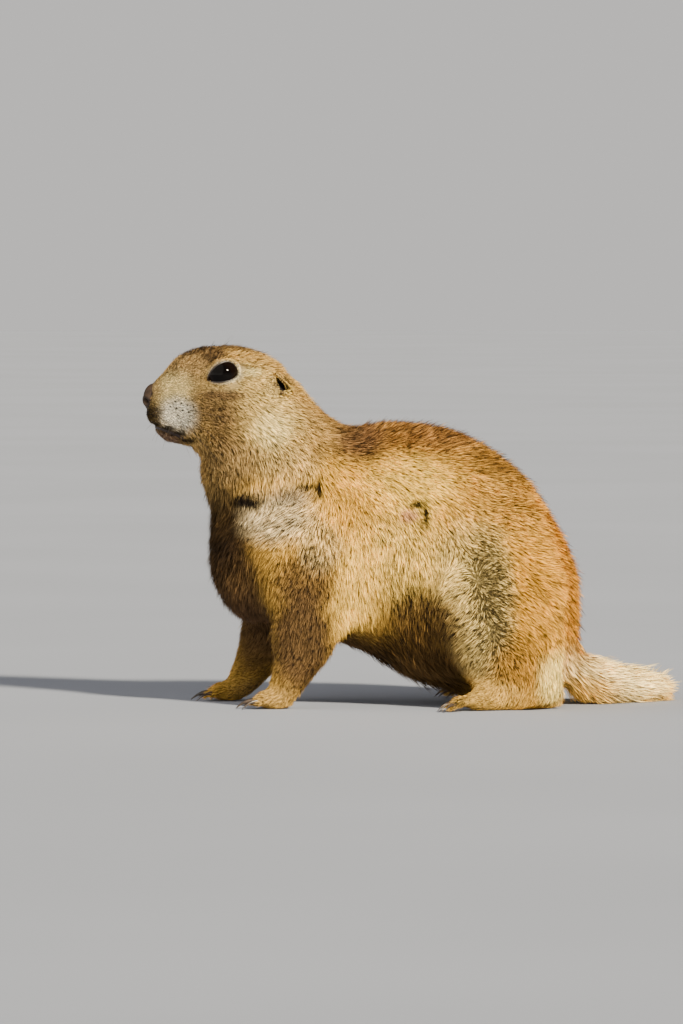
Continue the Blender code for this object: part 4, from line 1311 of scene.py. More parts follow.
@dataclass
class Coat:
    """The coat: thin tapered blades of hair, gathered in soft locks, in pieces over the body."""

    seed: int = SEED
    crowd: float = 0.81
    floor_gap: float = 0.3
    lock_size: float = 8.0
    lock_pull: float = 0.55
    short: float = 9.5
    guard_share: float = 0.14
    most_faces: int = 190_000

    def sow(self, growth: Growth) -> Hairs:
        """Sets roots over a surface as thickly as its density asks, and varies each hair.

        Args:
            growth: The surface with its lie and sizes.

        Returns:
            The hairs.
        """
        rng = np.random.default_rng(self.seed)
        corners = growth.surface.triangles
        density = growth.sizes[corners, 3].mean(axis=1) * self.crowd
        wanted = np.cumsum(growth.surface.areas() * density)
        count = int(wanted[-1])
        picks = np.searchsorted(wanted, (np.arange(count) + rng.random(count)) * wanted[-1] / count)
        picks = np.minimum(picks, len(corners) - 1)
        one, two = rng.random((2, count))
        over = one + two > 1
        one[over], two[over] = 1 - one[over], 1 - two[over]
        weights = np.stack([1 - one - two, one, two], axis=1)
        rows = corners[picks]

        def mixed(values: np.ndarray) -> np.ndarray:
            """The values at the roots."""
            return np.einsum("nk,nkd->nd", weights, values[rows])

        normal = unit(mixed(growth.normals))
        lie = mixed(growth.lie)
        turn = np.radians(rng.normal(0, 8, count))[:, None]
        lie = unit(lie - normal * np.sum(lie * normal, axis=1, keepdims=True))
        lie = np.cos(turn) * lie + np.sin(turn) * np.cross(normal, lie)
        sizes = mixed(growth.sizes)
        guard = rng.random(count) < self.guard_share
        return Hairs(
            root=mixed(growth.surface.points),
            normal=normal,
            lie=lie,
            length=sizes[:, 0] * rng.uniform(0.68, 1.12, count) * np.where(guard, 1.28, 1.0),
            lift=sizes[:, 1] + rng.normal(0, 7, count) + np.where(guard, 5.0, 0.0),
            width=sizes[:, 2] * rng.uniform(0.76, 1.35, count),
            roll=np.radians(rng.normal(0, 32, count)),
            chance=rng.random(count),
            guard=guard,
            owner=growth.owner[rows[:, 0]],
        )

    def gather(self, hairs: Hairs, spine: np.ndarray) -> np.ndarray:
        """Draws the hairs' tips together in locks, and lays those that reach the floor along it.

        Args:
            hairs: The hairs.
            spine: Their lines.

        Returns:
            The lines, drawn in.
        """
        rng = np.random.default_rng(self.seed + 1)
        leaders = np.flatnonzero(rng.random(len(hairs.root)) < 1 / self.lock_size)
        tree = KDTree(len(leaders))
        for i, leader in enumerate(leaders):
            tree.insert(hairs.root[leader], i)
        tree.balance()
        nearest = leaders[[tree.find(root)[1] for root in hairs.root]]
        pull = self.lock_pull * rng.uniform(0.3, 1.0, len(leaders))
        shares = np.zeros(len(hairs.root))
        shares[leaders] = pull
        hairs.chance = hairs.chance[nearest] * (1 - 1 / LOCK_BANDS) + hairs.chance / LOCK_BANDS
        drawn = spine[nearest, -1] - spine[:, -1]
        reach = np.linalg.norm(drawn, axis=1)
        shares = shares[nearest] * np.minimum(1, 0.45 * hairs.length / np.maximum(reach, 1e-6))
        for k, bend in ((1, 0.12), (2, 0.5), (3, 1.0)):
            spine[:, k] += drawn * (shares * bend)[:, None]
        spine[..., 2] = np.maximum(spine[..., 2], self.floor_gap)
        return spine

    def build(self, growth: Growth, pieces: Sequence[CoatPiece], material: dict[Slot, bpy.types.Material]) -> list[bpy.types.Object]:
        """Grows the whole coat.

        Args:
            growth: Where it grows.
            pieces: The stretches it is parted into.
            material: The hair's material for each slot.

        Returns:
            The pieces of the coat.
        """
        hairs = self.sow(growth)
        spine = self.gather(hairs, hairs.spine())
        made = []
        for index, piece in enumerate(pieces):
            mine = hairs.owner == index
            left = hairs.root[:, 1] < 0
            halves = {"_left": mine & left, "_right": mine & ~left} if piece.halved else {"": mine}
            for ending, chosen in halves.items():
                for part, rows in enumerate(self.portions(hairs, np.flatnonzero(chosen))):
                    name = piece.name + ending + (f"_{part + 1}" if part else "")
                    obj = self.blades(name, hairs.only(rows), spine[rows], piece.axis)
                    made.append(finished(obj, piece.slot, material[piece.slot]))
        return made

    def portions(self, hairs: Hairs, rows: np.ndarray) -> list[np.ndarray]:
        """The rows cut along the body so that no piece has too many faces."""
        faces = np.where(hairs.length[rows] < self.short, 3, 5).sum()
        parts = max(1, math.ceil(faces / self.most_faces))
        order = rows[np.argsort(hairs.root[rows, 0], kind="stable")]
        return np.array_split(order, parts)

    def blades(self, name: str, hairs: Hairs, spine: np.ndarray, axis: Axis) -> bpy.types.Object:
        """One mesh of these hairs, each a flat blade that tapers to its tip.

        Args:
            name: The piece's name.
            hairs: The hairs.
            spine: Their lines.
            axis: The way the stretch of body runs, for the unwrap.

        Returns:
            The mesh object, with its Strand and OFBake maps and its normals.
        """
        way = unit(spine[:, -1] - spine[:, 0])
        beside = unit(np.cross(hairs.normal, way))
        above = np.cross(way, beside)
        cos, sin = np.cos(hairs.roll)[:, None], np.sin(hairs.roll)[:, None]
        across = cos * beside + sin * above
        facing = cos * above - sin * beside
        cell = self.unwrap(hairs.root, axis)
        brief = hairs.length < self.short
        middle = (spine[:, 1:2] + spine[:, 2:3]) / 2
        simple = np.concatenate([spine[:, :1], middle, spine[:, 3:]], axis=1)
        mesh_parts = []
        for chosen, line in ((brief, simple), (~brief, spine)):
            if chosen.any():
                parts = (values[chosen] for values in (line, across, facing, cell))
                mesh_parts.append(self.strips(hairs.only(chosen), *parts))
        return self.mesh_of(name, mesh_parts)

    @staticmethod
    def strips(
        hairs: Hairs, line: np.ndarray, across: np.ndarray, facing: np.ndarray, cell: np.ndarray
    ) -> dict[str, np.ndarray]:
        """The points, faces, normals and maps of blades.

        Args:
            hairs: The hairs.
            line: Each one's line from root to tip, with as many stations as its blade has.
            across: The way each blade is wide.
            facing: The way it faces.
            cell: Its place on the unwrap.

        Returns:
            Arrays by name.
        """
        count, stations = line.shape[:2]
        half = hairs.width[:, None] * across / 2
        points, normals, strand, bake = [], [], [], []
        for station in range(stations):
            share = station / (stations - 1)
            width = 1.0 if station else 0.75
            for sign in (-1, 1) if share < 1 else (0,):
                points.append(line[:, station] + half * (sign * width))
                normals.append(unit(hairs.normal * 0.42 + facing * 0.58 + across * (0.5 * sign)))
                strand.append(np.stack([hairs.chance, share * (1 + 0.3 * hairs.guard)], axis=1))
                bake.append(cell + BAKE_PATCH * np.array([sign / 2, share - 0.5]))
        size = len(points)
        corners = [[2 * k, 2 * k + 2, 2 * k + 3, 2 * k + 1] for k in range(stations - 2)]
        corners.append([size - 3, size - 1, size - 2])
        first = np.arange(count)[:, None] * size

        def stacked(rows: list[np.ndarray]) -> np.ndarray:
            """Rows for each hair's points in turn."""
            return np.stack(rows, axis=1).reshape(count * size, -1)

        return {
            "points": stacked(points),
            "normals": stacked(normals),
            "strand": stacked(strand),
            "bake": stacked(bake),
            "loops": np.concatenate([first + np.array(c) for c in corners], axis=1).ravel(),
            "counts": np.tile([len(c) for c in corners], count),
        }

    @staticmethod
    def mesh_of(name: str, parts: list[dict[str, np.ndarray]]) -> bpy.types.Object:
        """A mesh object of the strips."""
        moved = 0
        for part in parts:
            part["loops"] = part["loops"] + moved
            moved += len(part["points"])
        data = {key: np.concatenate([part[key] for part in parts]) for key in parts[0]}
        mesh = bpy.data.meshes.new(name)
        points = (data["points"] + np.array(SHIFT)) * MM
        mesh.vertices.add(len(points))
        mesh.vertices.foreach_set("co", points.astype(np.float32).ravel())
        loops = data["loops"].astype(np.int32)
        mesh.loops.add(len(loops))
        mesh.loops.foreach_set("vertex_index", loops)
        starts = np.concatenate([[0], np.cumsum(data["counts"])[:-1]]).astype(np.int32)
        mesh.polygons.add(len(starts))
        mesh.polygons.foreach_set("loop_start", starts)
        mesh.update(calc_edges=True)
        mesh.shade_smooth()
        normals = mesh.attributes.new("custom_normal", "FLOAT_VECTOR", "POINT")
        normals.data.foreach_set("vector", data["normals"].astype(np.float32).ravel())
        for label, key in (("OFBake", "bake"), ("Strand", "strand")):
            layer = mesh.uv_layers.new(name=label)
            layer.uv.foreach_set("vector", data[key][loops].astype(np.float32).ravel())
        obj = bpy.data.objects.new(name, mesh)
        bpy.context.scene.collection.objects.link(obj)
        return obj

    @staticmethod
    def unwrap(roots: np.ndarray, axis: Axis) -> np.ndarray:
        """A place of its own for each root on an unwrap round the stretch's axis, evenly filled."""
        middle = roots.mean(axis=0)
        away = roots - middle
        if axis is Axis.ALONG:
            turn, along = np.arctan2(away[:, 1], away[:, 2]), away[:, 0]
        else:
            turn, along = np.arctan2(away[:, 1], away[:, 0]), away[:, 2]
        count = len(roots)
        rows = math.ceil(math.sqrt(count))
        column = np.empty(count, np.int64)
        column[np.argsort(turn, kind="stable")] = np.arange(count) // rows
        order = np.lexsort((along, column))
        row = np.empty(count, np.int64)
        row[order] = np.arange(count) - column[order] * rows
        return (np.stack([column, row], axis=1) + 0.5) / rows


BAKE_PATCH = 0.003


@dataclass
class Eye:
    """An eye: its ball, and the lids round it."""

    shape: EyeShape
    # Each row of the lids: how far out from the slit in radians, and its distance from the centre
    rows: tuple[tuple[float, float], ...] = (
        (-0.08, 6.6),
        (-0.02, 7.03),
        (0.02, 7.2),
        (0.07, 7.38),
        (0.14, 7.52),
        (0.25, 7.6),
        (0.4, 7.5),
        (0.56, 6.8),
    )

    def ball(self) -> bpy.types.Object:
        """The ball of the eye, smooth."""
        bm = bmesh.new()
        matrix = Matrix.Translation(place(*self.shape.frame.translation))
        bmesh.ops.create_uvsphere(
            bm, u_segments=64, v_segments=40, radius=EYE_RADIUS * MM, matrix=matrix
        )
        obj = object_of(bm, f"eyeball_{self.shape.side.label}")
        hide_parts(f"eye_{self.shape.side.label}")
        return obj

    def lids(self) -> bpy.types.Object:
        """Both lids, as one ring of skin round the slit that rolls in onto the ball."""
        bearings, angles = self.shape.rim()
        bm = bmesh.new()
        rim = bm.verts.layers.float.new("Rim")
        loops = []
        for out, radius in self.rows:
            loop = []
            for bearing, angle in zip(bearings, angles):
                wide = 0.09 * max(0.0, math.cos(bearing)) ** 2
                vert = bm.verts.new(place(*self.shape.point(bearing, angle + out + wide, radius)))
                vert[rim] = max(out, 0.0)
                loop.append(vert)
            loops.append(loop)
        rings = [[bm.edges.new((loop[k - 1], loop[k])) for k in range(len(loop))] for loop in loops]
        for one, other in zip(rings, rings[1:]):
            bmesh.ops.bridge_loops(bm, edges=one + other)
        return object_of(bm, f"lids_{self.shape.side.label}")


@dataclass
class Nose:
    """The bare end of the nose, with comma-shaped nostrils and a groove between them."""

    centre: Triple = NOSE_CENTRE
    radii: Triple = NOSE_RADII
    # Each nostril is a slit in the side of the nose that runs back and down
    nostril_start: Triple = (-99.0, 2.6, 128.0)
    nostril_end: Triple = (-93.6, 4.4, 125.2)
    nostril_reach: float = 1.0
    nostril_depth: float = 2.4

    def build(self) -> bpy.types.Object:
        """Sculpts a fine ball into the nose."""
        bm = bmesh.new()
        size = Matrix.Diagonal((*(r * MM for r in self.radii), 1))
        bmesh.ops.create_uvsphere(
            bm, u_segments=112, v_segments=80, radius=1, matrix=Matrix.Translation(place(*self.centre)) @ size
        )
        bm.normal_update()
        points = own_frame(np.array([vert.co for vert in bm.verts]))
        normals = np.array([vert.normal for vert in bm.verts])
        sink = np.zeros(len(points))
        start, end = np.array(self.nostril_start), np.array(self.nostril_end)
        folded = points * (1, 0, 1) + np.abs(points) * (0, 1, 0)
        along = np.clip((folded - start) @ (end - start) / np.sum((end - start) ** 2), 0, 1)
        gap = np.linalg.norm(folded - start - along[:, None] * (end - start), axis=1)
        gap /= self.nostril_reach * (1.25 - 0.6 * along)
        sink += self.nostril_depth * (1 - smooth_step(0.4, 1.1, gap))
        sink -= 0.45 * np.exp(-(((gap - 1.6) / 0.5) ** 2))
        front = np.clip((-95 - points[:, 0]) / 4, 0, 1)
        sink += 0.5 * np.exp(-((points[:, 1] / 0.45) ** 2)) * front
        for vert, normal, amount in zip(bm.verts, normals, sink):
            vert.co -= Vector(normal) * float(amount) * MM
        obj = object_of(bm, "nose_pad")
        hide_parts("nose")
        return obj


@dataclass
class Ear:
    """A low ear laid back on the head, with its small opening at the lower front."""

    side: Side
    centre: Triple = (-41.4, 0, 137.0)
    reach: tuple[float, float] = (5.0, 6.9)
    height: float = 4.2
    rings: int = 44
    spokes: int = 96
    # The opening as overlapping rounds: back, up and radius, from a slit down to a wide bottom
    opening: tuple[Triple, ...] = (
        (-3.3, 3.1, 0.8),
        (-3.0, 1.7, 1.0),
        (-2.6, 0.3, 1.2),
        (-2.1, -1.1, 1.5),
        (-1.6, -2.5, 1.9),
        (-0.2, -3.2, 1.6),
        (1.0, -3.6, 1.2),
        (-1.9, -3.9, 1.6),
    )
    depth: float = 4.2

    def footprint(self, points: np.ndarray) -> np.ndarray:
        """How far out points are on the ear's outline, from 0 at its middle to 1 at its edge."""
        away = (points - np.array(self.centre))[:, (0, 2)] / np.array(self.reach)
        beside = points[:, 1] * self.side.value > 8
        return np.where(beside, np.linalg.norm(away, axis=1), 99.0)

    def inside(self, back: float, up: float) -> float:
        """How far inside the opening a point of the ear is, from 0 at its edge to 1 at its bottom."""
        gap = min(math.hypot(back - x, up - z) / radius for x, z, radius in self.opening)
        return float(1 - smooth_step(0.6, 1.15, np.array(gap)))

    def rise(self, back: float, up: float, out: float) -> float:
        """How far the ear stands off the head, which is most along its rear rim."""
        flap = float(smooth_step(-0.9, 0.75, np.array(back / self.reach[0])))
        edge = float(1 - smooth_step(0.8, 1.0, np.array(out)))
        roll = 0.5 * math.exp(-(((out - 0.78) / 0.12) ** 2))
        return self.height * (0.35 + 0.65 * flap + roll * flap) * edge - 1.2 * (1 - edge)

    def build(self, skin: BVHTree) -> bpy.types.Object:
        """Raises the ear's flap from the side of the head and presses the opening in.

        Args:
            skin: The skin, in the modeller's frame.

        Returns:
            The ear.
        """
        sign = self.side.value
        bm = bmesh.new()
        rim = bm.verts.layers.float.new("Rim")
        loops = []
        for ring in range(self.rings):
            out = (ring + 1) / self.rings
            loop = []
            for spoke in range(self.spokes):
                turn = math.tau * spoke / self.spokes
                back = self.reach[0] * out * math.cos(turn)
                up = self.reach[1] * out * math.sin(turn)
                start = Vector((self.centre[0] + back, 60 * sign, self.centre[2] + up))
                base = skin.ray_cast(start, Vector((0, -sign, 0)), 50)[0]
                if base is None:
                    base = skin.find_nearest(Vector((start.x, 12 * sign, start.z)))[0]
                depth = self.inside(back, up)
                base.y += sign * (self.rise(back, up, out) - self.depth * depth)
                vert = bm.verts.new(place(*base))
                vert[rim] = depth
                loop.append(vert)
            loops.append(loop)
        rings = [[bm.edges.new((loop[k - 1], loop[k])) for k in range(len(loop))] for loop in loops]
        for one, other in zip(rings, rings[1:]):
            bmesh.ops.bridge_loops(bm, edges=one + other)
        bmesh.ops.contextual_create(bm, geom=rings[0])
        obj = object_of(bm, f"pinna_{self.side.label}")
        if obj.data.polygons[0].normal.y * sign < 0:
            obj.data.flip_normals()
        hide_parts(f"ear_{self.side.label}")
        return obj


@dataclass
class Claws:
    """The claws of all four feet: curved horn cones set in the tips of the toes."""

    segments: int = 14
    rings: int = 8
    base: float = 0.95
    droop: float = 2.9

    def build(self) -> list[bpy.types.Object]:
        """Makes the claws of each foot one piece."""
        made = []
        for name in FLESH:
            toes = paw_of(name)
            if toes:
                paw, side, step = toes
                bm = bmesh.new()
                for start, aim, length in paw.toes(side, step):
                    self.claw(bm, start, aim, length, paw)
                made.append(object_of(bm, name.replace("paw", "claws")))
        return made

    def claw(self, bm: bmesh.types.BMesh, start: np.ndarray, aim: np.ndarray, length: float, paw: Paw) -> None:
        """Adds one claw, thick at its root and bent down to its point.

        Args:
            bm: The foot's claws so far.
            start: The toe's root.
            aim: The toe's heading.
            length: The toe's length.
            paw: The foot it grows on.
        """
        whole = paw.claw_length + 0.25 * length
        cone = bmesh.ops.create_cone(
            bm, cap_ends=True, segments=self.segments, radius1=self.base, radius2=0.12, depth=whole
        )
        verts = cone["verts"]
        edges = {edge for vert in verts for edge in vert.link_edges if abs(edge.verts[0].co.z - edge.verts[1].co.z) > 0.1}
        bmesh.ops.subdivide_edges(bm, edges=list(edges), cuts=self.rings)
        ahead, beside = Vector(aim), Vector((0, 0, 1)).cross(Vector(aim))
        root = Vector(start) + ahead * (length * 0.75)
        tied = [vert for vert in bm.verts if not vert.tag]
        for vert in tied:
            share = vert.co.z / whole + 0.5
            drop = self.droop * share**1.8
            up = 3.3 + 0.5 * math.sin(math.pi * share) - drop + vert.co.y * 1.15
            spot = root + ahead * (whole * (share - 0.06 * share**2)) + beside * vert.co.x * 0.8
            vert.co = place(spot.x, spot.y, max(up, 0.15))
            vert.tag = True


@dataclass
class Whiskers:
    """The long hairs of the muzzle and over the eyes."""

    seed: int = SEED + 7
    rows: int = 4
    in_row: int = 4
    sides: int = 5
    steps: int = 9

    def build(self, skin: BVHTree) -> bpy.types.Object:
        """Sets whiskers on both sides, rooted in the skin.

        Args:
            skin: The skin, in the modeller's frame.

        Returns:
            All the whiskers as one piece.
        """
        rng = np.random.default_rng(self.seed)
        bm = bmesh.new()
        for side in Side:
            for row in range(self.rows):
                for k in range(self.in_row):
                    spot = (-91.5 + 3.0 * k + 0.4 * row, 9.5 * side.value, 126.4 - 2.3 * row + 0.3 * k)
                    way = (-0.75 + 0.42 * k, 0.95 * side.value, 0.25 - 0.28 * row)
                    self.whisker(bm, skin, spot, way, 17 + 4.0 * k + rng.uniform(-2, 3), rng)
            for k in range(2):
                spot = (-73.0 + 2.0 * k, 14.0 * side.value, 147.0 + k)
                way = (-0.1 + 0.4 * k, 0.7 * side.value, 0.8)
                self.whisker(bm, skin, spot, way, 14 + 3 * k, rng)
        return object_of(bm, "whiskers")

    def whisker(self, bm: bmesh.types.BMesh, skin: BVHTree, spot: Triple, way: Triple, length: float, rng: np.random.Generator) -> None:
        """Adds one whisker, which tapers and droops backward.

        Args:
            bm: The whiskers so far.
            skin: The skin to root it in.
            spot: Roughly where it grows.
            way: Where it points.
            length: Its length.
            rng: The source of its small differences.
        """
        root = skin.find_nearest(Vector(spot))[0]
        way = (Vector(way) + Vector(rng.normal(0, 0.08, 3))).normalized()
        bend = Vector((0.3, 0, -0.18)) * rng.uniform(0.6, 1.3)
        radius = 0.075
        previous = None
        for step in range(self.steps):
            share = step / (self.steps - 1)
            centre = root + way * (length * share - 0.8) + bend * (length * share**2 * 0.6)
            size = radius * (1 - share) ** 0.7 + 0.012
            ring = bmesh.ops.create_circle(
                bm, segments=self.sides, radius=size * MM,
                matrix=Matrix.Translation(place(*centre)) @ way.to_track_quat("Z", "Y").to_matrix().to_4x4(),
            )["verts"]
            edges = list({edge for vert in ring for edge in vert.link_edges})
            if previous:
                bmesh.ops.bridge_loops(bm, edges=previous + edges)
            previous = edges


@dataclass
class Lips:
    """The dark edge of the lower lip, from one corner of the mouth round to the other."""

    radius: float = 0.8
    steps: int = 16

    def build(self, skin: BVHTree) -> bpy.types.Object:
        """Lays a thin roll of skin along the line of the mouth.

        Args:
            skin: The skin, in the modeller's frame.

        Returns:
            The lips.
        """
        line_x, line_z = np.array(MOUTH_LINE).T
        path = []
        for side in Side:
            half = []
            for x in np.linspace(-82.5, -97.2, self.steps):
                height = float(np.interp(x, line_x, line_z)) - 0.35
                hit = skin.ray_cast(Vector((x, 60 * side.value, height)), Vector((0, -side.value, 0)))
                if hit[0]:
                    half.append(hit[0] - hit[1] * 0.25)
            path += half if side is Side.LEFT else half[::-1]
        bm = bmesh.new()
        previous = None
        for i, spot in enumerate(path):
            ahead = (path[min(i + 1, len(path) - 1)] - path[max(i - 1, 0)]).normalized()
            share = i / (len(path) - 1)
            size = self.radius * min(1.0, 0.25 + 6 * min(share, 1 - share))
            ring = bmesh.ops.create_circle(
                bm, segments=10, radius=size * MM,
                matrix=Matrix.Translation(place(*spot)) @ ahead.to_track_quat("Z", "Y").to_matrix().to_4x4(),
            )["verts"]
            edges = list({edge for vert in ring for edge in vert.link_edges})
            if previous:
                bmesh.ops.bridge_loops(bm, edges=previous + edges)
            previous = edges
        return object_of(bm, "lips")


@dataclass
class Studio:
    """A pale floor, soft light and the camera at the photo's angle."""

    distance: float = 3.0
    camera_height: float = 0.191
    pixel: float = 0.42
    image_width: int = 683
    image_height: int = 1024
    animal_centre: float = 383.0
    floor_line: float = 705.0

    def build(self) -> None:
        """Makes the floor, the lights, the world and the camera."""
        floor = self.floor()
        floor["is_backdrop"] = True
        self.light("key", (0.5, -0.78, 0.58), 6.0, 8.8, (1.0, 0.88, 0.64))
        self.light("fill", (-0.85, -0.5, 0.4), 110.0, 2.6, (1.0, 0.94, 0.82))
        self.backdrop()
        self.camera()

    @staticmethod
    def backdrop() -> None:
        """A world that is pale at the level of the floor's far edge and dimmer overhead."""
        world = bpy.data.worlds.new("studio")
        bpy.context.scene.world = world
        world.use_nodes = True
        links = Links(world.node_tree)
        way = links.add("ShaderNodeSeparateXYZ")
        links.put(way.inputs[0], links.add("ShaderNodeTexCoord").outputs["Generated"])
        height = links.maths("ABSOLUTE", way.outputs[2])
        background = world.node_tree.nodes["Background"]
        links.put(background.inputs["Color"], (1.0, 0.975, 0.95))
        links.put(background.inputs["Strength"], links.ramp(height, 0.09, 0.3, 0.66, 0.07))

    @staticmethod
    def floor() -> bpy.types.Object:
        """A wide round floor at z = 0."""
        bm = bmesh.new()
        bmesh.ops.create_circle(bm, cap_ends=True, segments=96, radius=14.0)
        floor = object_of(bm, "floor", smooth=False)
        if floor.data.polygons[0].normal.z < 0:
            floor.data.flip_normals()
        floor.data.materials.append(FloorFinish().build())
        return floor

    @staticmethod
    def light(name: str, way: Triple, spread: float, power: float, colour: Triple) -> None:
        """A soft even light from one way, which lights animal and floor alike.

        Args:
            name: Its name.
            way: The way towards it.
            spread: How wide it looks, in degrees, which softens its shadows.
            power: Its power in watts for each square metre.
            colour: Its colour.
        """
        data = bpy.data.lights.new(name, "SUN")
        data.angle = math.radians(spread)
        data.energy = power
        data.color = colour
        lamp = bpy.data.objects.new(name, data)
        lamp.location = Vector(way)
        lamp.rotation_euler = (-Vector(way)).to_track_quat("-Z", "Y").to_euler()
        bpy.context.scene.collection.objects.link(lamp)

    def camera(self) -> None:
        """The camera, level with the animal's back and framed as the photo is."""
        across = (self.image_width / 2 - self.animal_centre) * self.pixel
        height = (self.floor_line - self.image_height / 2) * self.pixel
        aim = place(across, 0, height)
        data = bpy.data.cameras.new("camera")
        data.sensor_width = 36.0
        data.lens = 36.0 * self.distance / (self.image_height * self.pixel * MM)
        data.clip_end = 60
        camera = bpy.data.objects.new("camera", data)
        camera.location = (aim.x, -self.distance, self.camera_height)
        camera.rotation_euler = (aim - camera.location).to_track_quat("-Z", "Y").to_euler()
        bpy.context.scene.collection.objects.link(camera)
        bpy.context.scene.camera = camera


@dataclass
class PrairieDog:
    """The whole animal, dressed piece by piece."""

    coat_field: CoatField = field(default_factory=CoatField)
    coat: Coat = field(default_factory=Coat)

    def build(self) -> None:
        """Builds the skin and face first, then grows the coat on them."""
        markings = MarkingsGroup().build()
        hair = HairGroup().build()
        skin = Skin(self.coat_field)
        hide = skin.build()
        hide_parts(*FLESH)
        finished(hide, Slot.COAT, SkinFinish().build(markings))
        tree = skin.tree
        growth = self.skin_growth(skin)
        lid_skin = RimmedFinish("lid_skin", (0.012, 0.008, 0.007), (0.03, 0.02, 0.016), (0.6, 0.47, 0.3), 0.05).build()
        # The ear's skin darkens towards the bottom of its opening: painted shade in the hollow
        ear_skin = RimmedFinish("ear_skin", (0.22, 0.14, 0.06), (0.05, 0.03, 0.02), (0.006, 0.004, 0.003), 0.4, 0.7).build()
        for side in Side:
            eye = Eye(EyeShape(side))
            finished(eye.ball(), Slot.EYE, EyeFinish(side).build())
            lids = finished(eye.lids(), Slot.FACE, lid_skin)
            growth = growth.joined(self.lid_growth(lids, eye))
            ear = finished(Ear(side).build(tree), Slot.FACE, ear_skin)
            growth = growth.joined(self.ear_growth(ear, side))
        nose_skin = GrainedFinish("nose_leather", (0.032, 0.018, 0.011), (0.055, 0.032, 0.02), 0.5, 2600.0, 0.00012, True, 0.25)
        finished(Nose().build(), Slot.NOSE, nose_skin.build())
        lip_skin = GrainedFinish("lip_skin", (0.018, 0.012, 0.011), (0.035, 0.02, 0.018), 0.4, 1800.0, 0.0001)
        finished(Lips().build(tree), Slot.NOSE, lip_skin.build())
        horn = GrainedFinish("horn", (0.03, 0.022, 0.018), (0.075, 0.05, 0.035), 0.3, 1500.0, 0.00008).build()
        for claws in Claws().build():
            finished(claws, Slot.CLAW, horn)
        bristle = GrainedFinish("bristle", (0.02, 0.014, 0.01), (0.06, 0.042, 0.03), 0.35, 900.0, 0.00002)
        finished(Whiskers().build(tree), Slot.WHISKER, bristle.build())
        fur = {
            Slot.COAT: CoatFinish("body_hair").build(markings, hair),
            Slot.FACE: CoatFinish("face_hair", 0.6, 0.05, 1.4, 2.0).build(markings, hair),
            Slot.TAIL: CoatFinish("tail_hair", 0.55).build(markings, hair),
            Slot.PAW: CoatFinish("foot_hair", 0.52).build(markings, hair),
        }
        self.coat.build(growth, coat_pieces(), fur)

    def skin_growth(self, skin: Skin) -> Growth:
        """The skin with its lie and sizes, bare where the animal is."""
        surface = skin.surface
        normals = surface.relaxed(surface.normals(), 4, 0.6)
        normals = unit(normals)
        lie, sizes = self.coat_field.at(surface.points, normals)
        lie = self.swayed(surface.points, normals, lie)
        sizes[:, 3] *= self.bare(surface.points)
        for parting in PARTINGS:
            _, near = CoatField.beside(surface.points, parting)
            sizes[:, 0] *= 1 - 0.25 * near * min(parting.strength, 1)
            sizes[:, 3] *= 1 - 0.7 * near**4 * (parting.strength > 1.5)
        belly = np.linalg.norm((surface.points - (12, 0, 14)) / (34, 46, 20), axis=1)
        sizes[:, 0] *= 1 + 0.8 * (1 - smooth_step(0.5, 1.0, belly))
        ear = np.hypot(surface.points[:, 0] + 45.5, surface.points[:, 2] - 134.5)
        sizes[:, 0] *= 0.35 + 0.65 * smooth_step(3.0, 8.0, ear)
        index = {node: i for i, piece in enumerate(coat_pieces()) for node in piece.nodes}
        owner = np.array([index[name] for name in FLESH])[skin.owner]
        return Growth(surface, normals, lie, sizes, owner)

    @staticmethod
    def swayed(points: np.ndarray, normals: np.ndarray, lie: np.ndarray, reach: float = 12.0, degrees: float = 11.0) -> np.ndarray:
        """The lie turned a little this way and that over the body, as in any coat."""
        sway = np.array([noise.noise(Vector(p) / reach) for p in points])
        turn = np.radians(sway * 2 * degrees)[:, None]
        return np.cos(turn) * lie + np.sin(turn) * np.cross(normals, lie)

    @staticmethod
    def bare(points: np.ndarray) -> np.ndarray:
        """How much of the coat's density each point keeps: none at the eyes, nose, mouth and soles."""
        keep = np.ones(len(points))
        for side in Side:
            outside, distance = EyeShape(side).outside(points)
            near = distance < 12
            keep[near] *= smooth_step(0.3, 0.42, outside[near])
            keep *= smooth_step(0.75, 0.95, Ear(side).footprint(points))
        nose = np.linalg.norm((points - np.array(NOSE_CENTRE)) / np.array(NOSE_RADII), axis=1)
        keep *= smooth_step(1.05, 1.25, nose)
        line_x, line_z = np.array(MOUTH_LINE).T
        gap = np.abs(points[:, 2] - np.interp(points[:, 0], line_x, line_z))
        keep *= np.where(points[:, 0] < -81, smooth_step(0.4, 1.0, gap), 1)
        keep *= np.where(points[:, 2] < 0.9, 0.0, 1.0)
        return keep

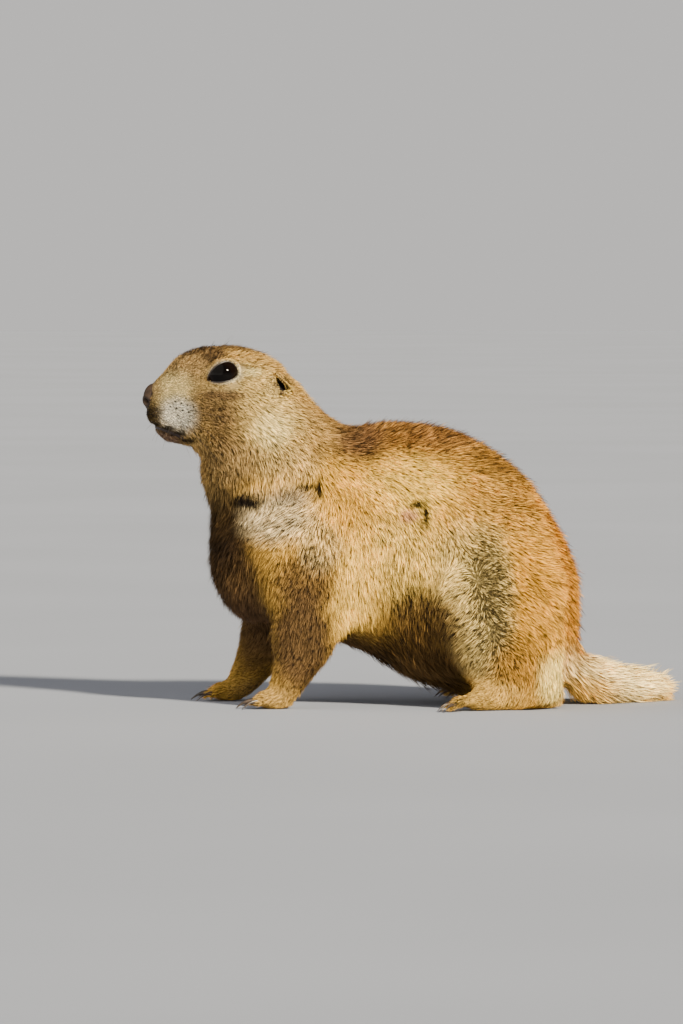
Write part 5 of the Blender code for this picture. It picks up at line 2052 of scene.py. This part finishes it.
    @staticmethod
    def lid_growth(lids: bpy.types.Object, eye: Eye) -> Growth:
        """The lids with their tiny outward hairs."""
        surface = Surface.of(lids.data)
        normals = surface.normals()
        outside, _ = eye.shape.outside(surface.points)
        centre = np.array(eye.shape.frame.translation)
        axis = np.array(eye.shape.frame.to_3x3() @ Vector((0, eye.shape.side.value, 0)))
        away = surface.points - centre
        away -= np.outer(away @ axis, axis)
        lie = unit(unit(away) + np.array((0.7, 0, 0)))
        lie = unit(lie - normals * np.sum(lie * normals, axis=1, keepdims=True))
        density = 26 * smooth_step(0.03, 0.1, outside)
        count = len(surface.points)
        sizes = np.stack([np.full(count, 1.3), np.full(count, 10.0), np.full(count, 0.15), density], axis=1)
        return Growth(surface, normals, lie, sizes, np.zeros(count, np.int64))

    @staticmethod
    def ear_growth(ear: bpy.types.Object, side: Side) -> Growth:
        """The ear with short hair on its back and over its rim."""
        surface = Surface.of(ear.data)
        normals = surface.normals()
        depth = read(ear.data.attributes["Rim"].data, "value", 1).astype(np.float64)
        back = surface.points[:, 0] - Ear(side).centre[0]
        away = (surface.points - np.array(Ear(side).centre)) * (1, 0, 1) + (1.6, 0, 2.4)
        lie = unit(away) + np.array((0.5, 0, -0.1))
        lie = unit(lie - normals * np.sum(lie * normals, axis=1, keepdims=True))
        density = 15 * (1 - smooth_step(0.02, 0.15, depth))
        count = len(normals)
        length = 1.3 + 2.0 * smooth_step(-1.0, 2.5, back)
        sizes = np.stack([length, np.full(count, 20.0), np.full(count, 0.18), density], axis=1)
        return Growth(surface, normals, lie, sizes, np.zeros(count, np.int64))


def write_sizes() -> None:
    """Gathers the solids' box and the dressed model's box."""
    boxes = {"cad": CAD_BOX, "visual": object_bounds()}
    plain = {name: [list(corner) for corner in box] for name, box in boxes.items()}


def main() -> None:
    """Dresses the animal and sets up the studio."""
    logging.basicConfig(level=logging.INFO, format="%(name)s %(message)s")
    PrairieDog().build()
    Studio().build()
    write_sizes()


if __name__ == "__main__":
    main()
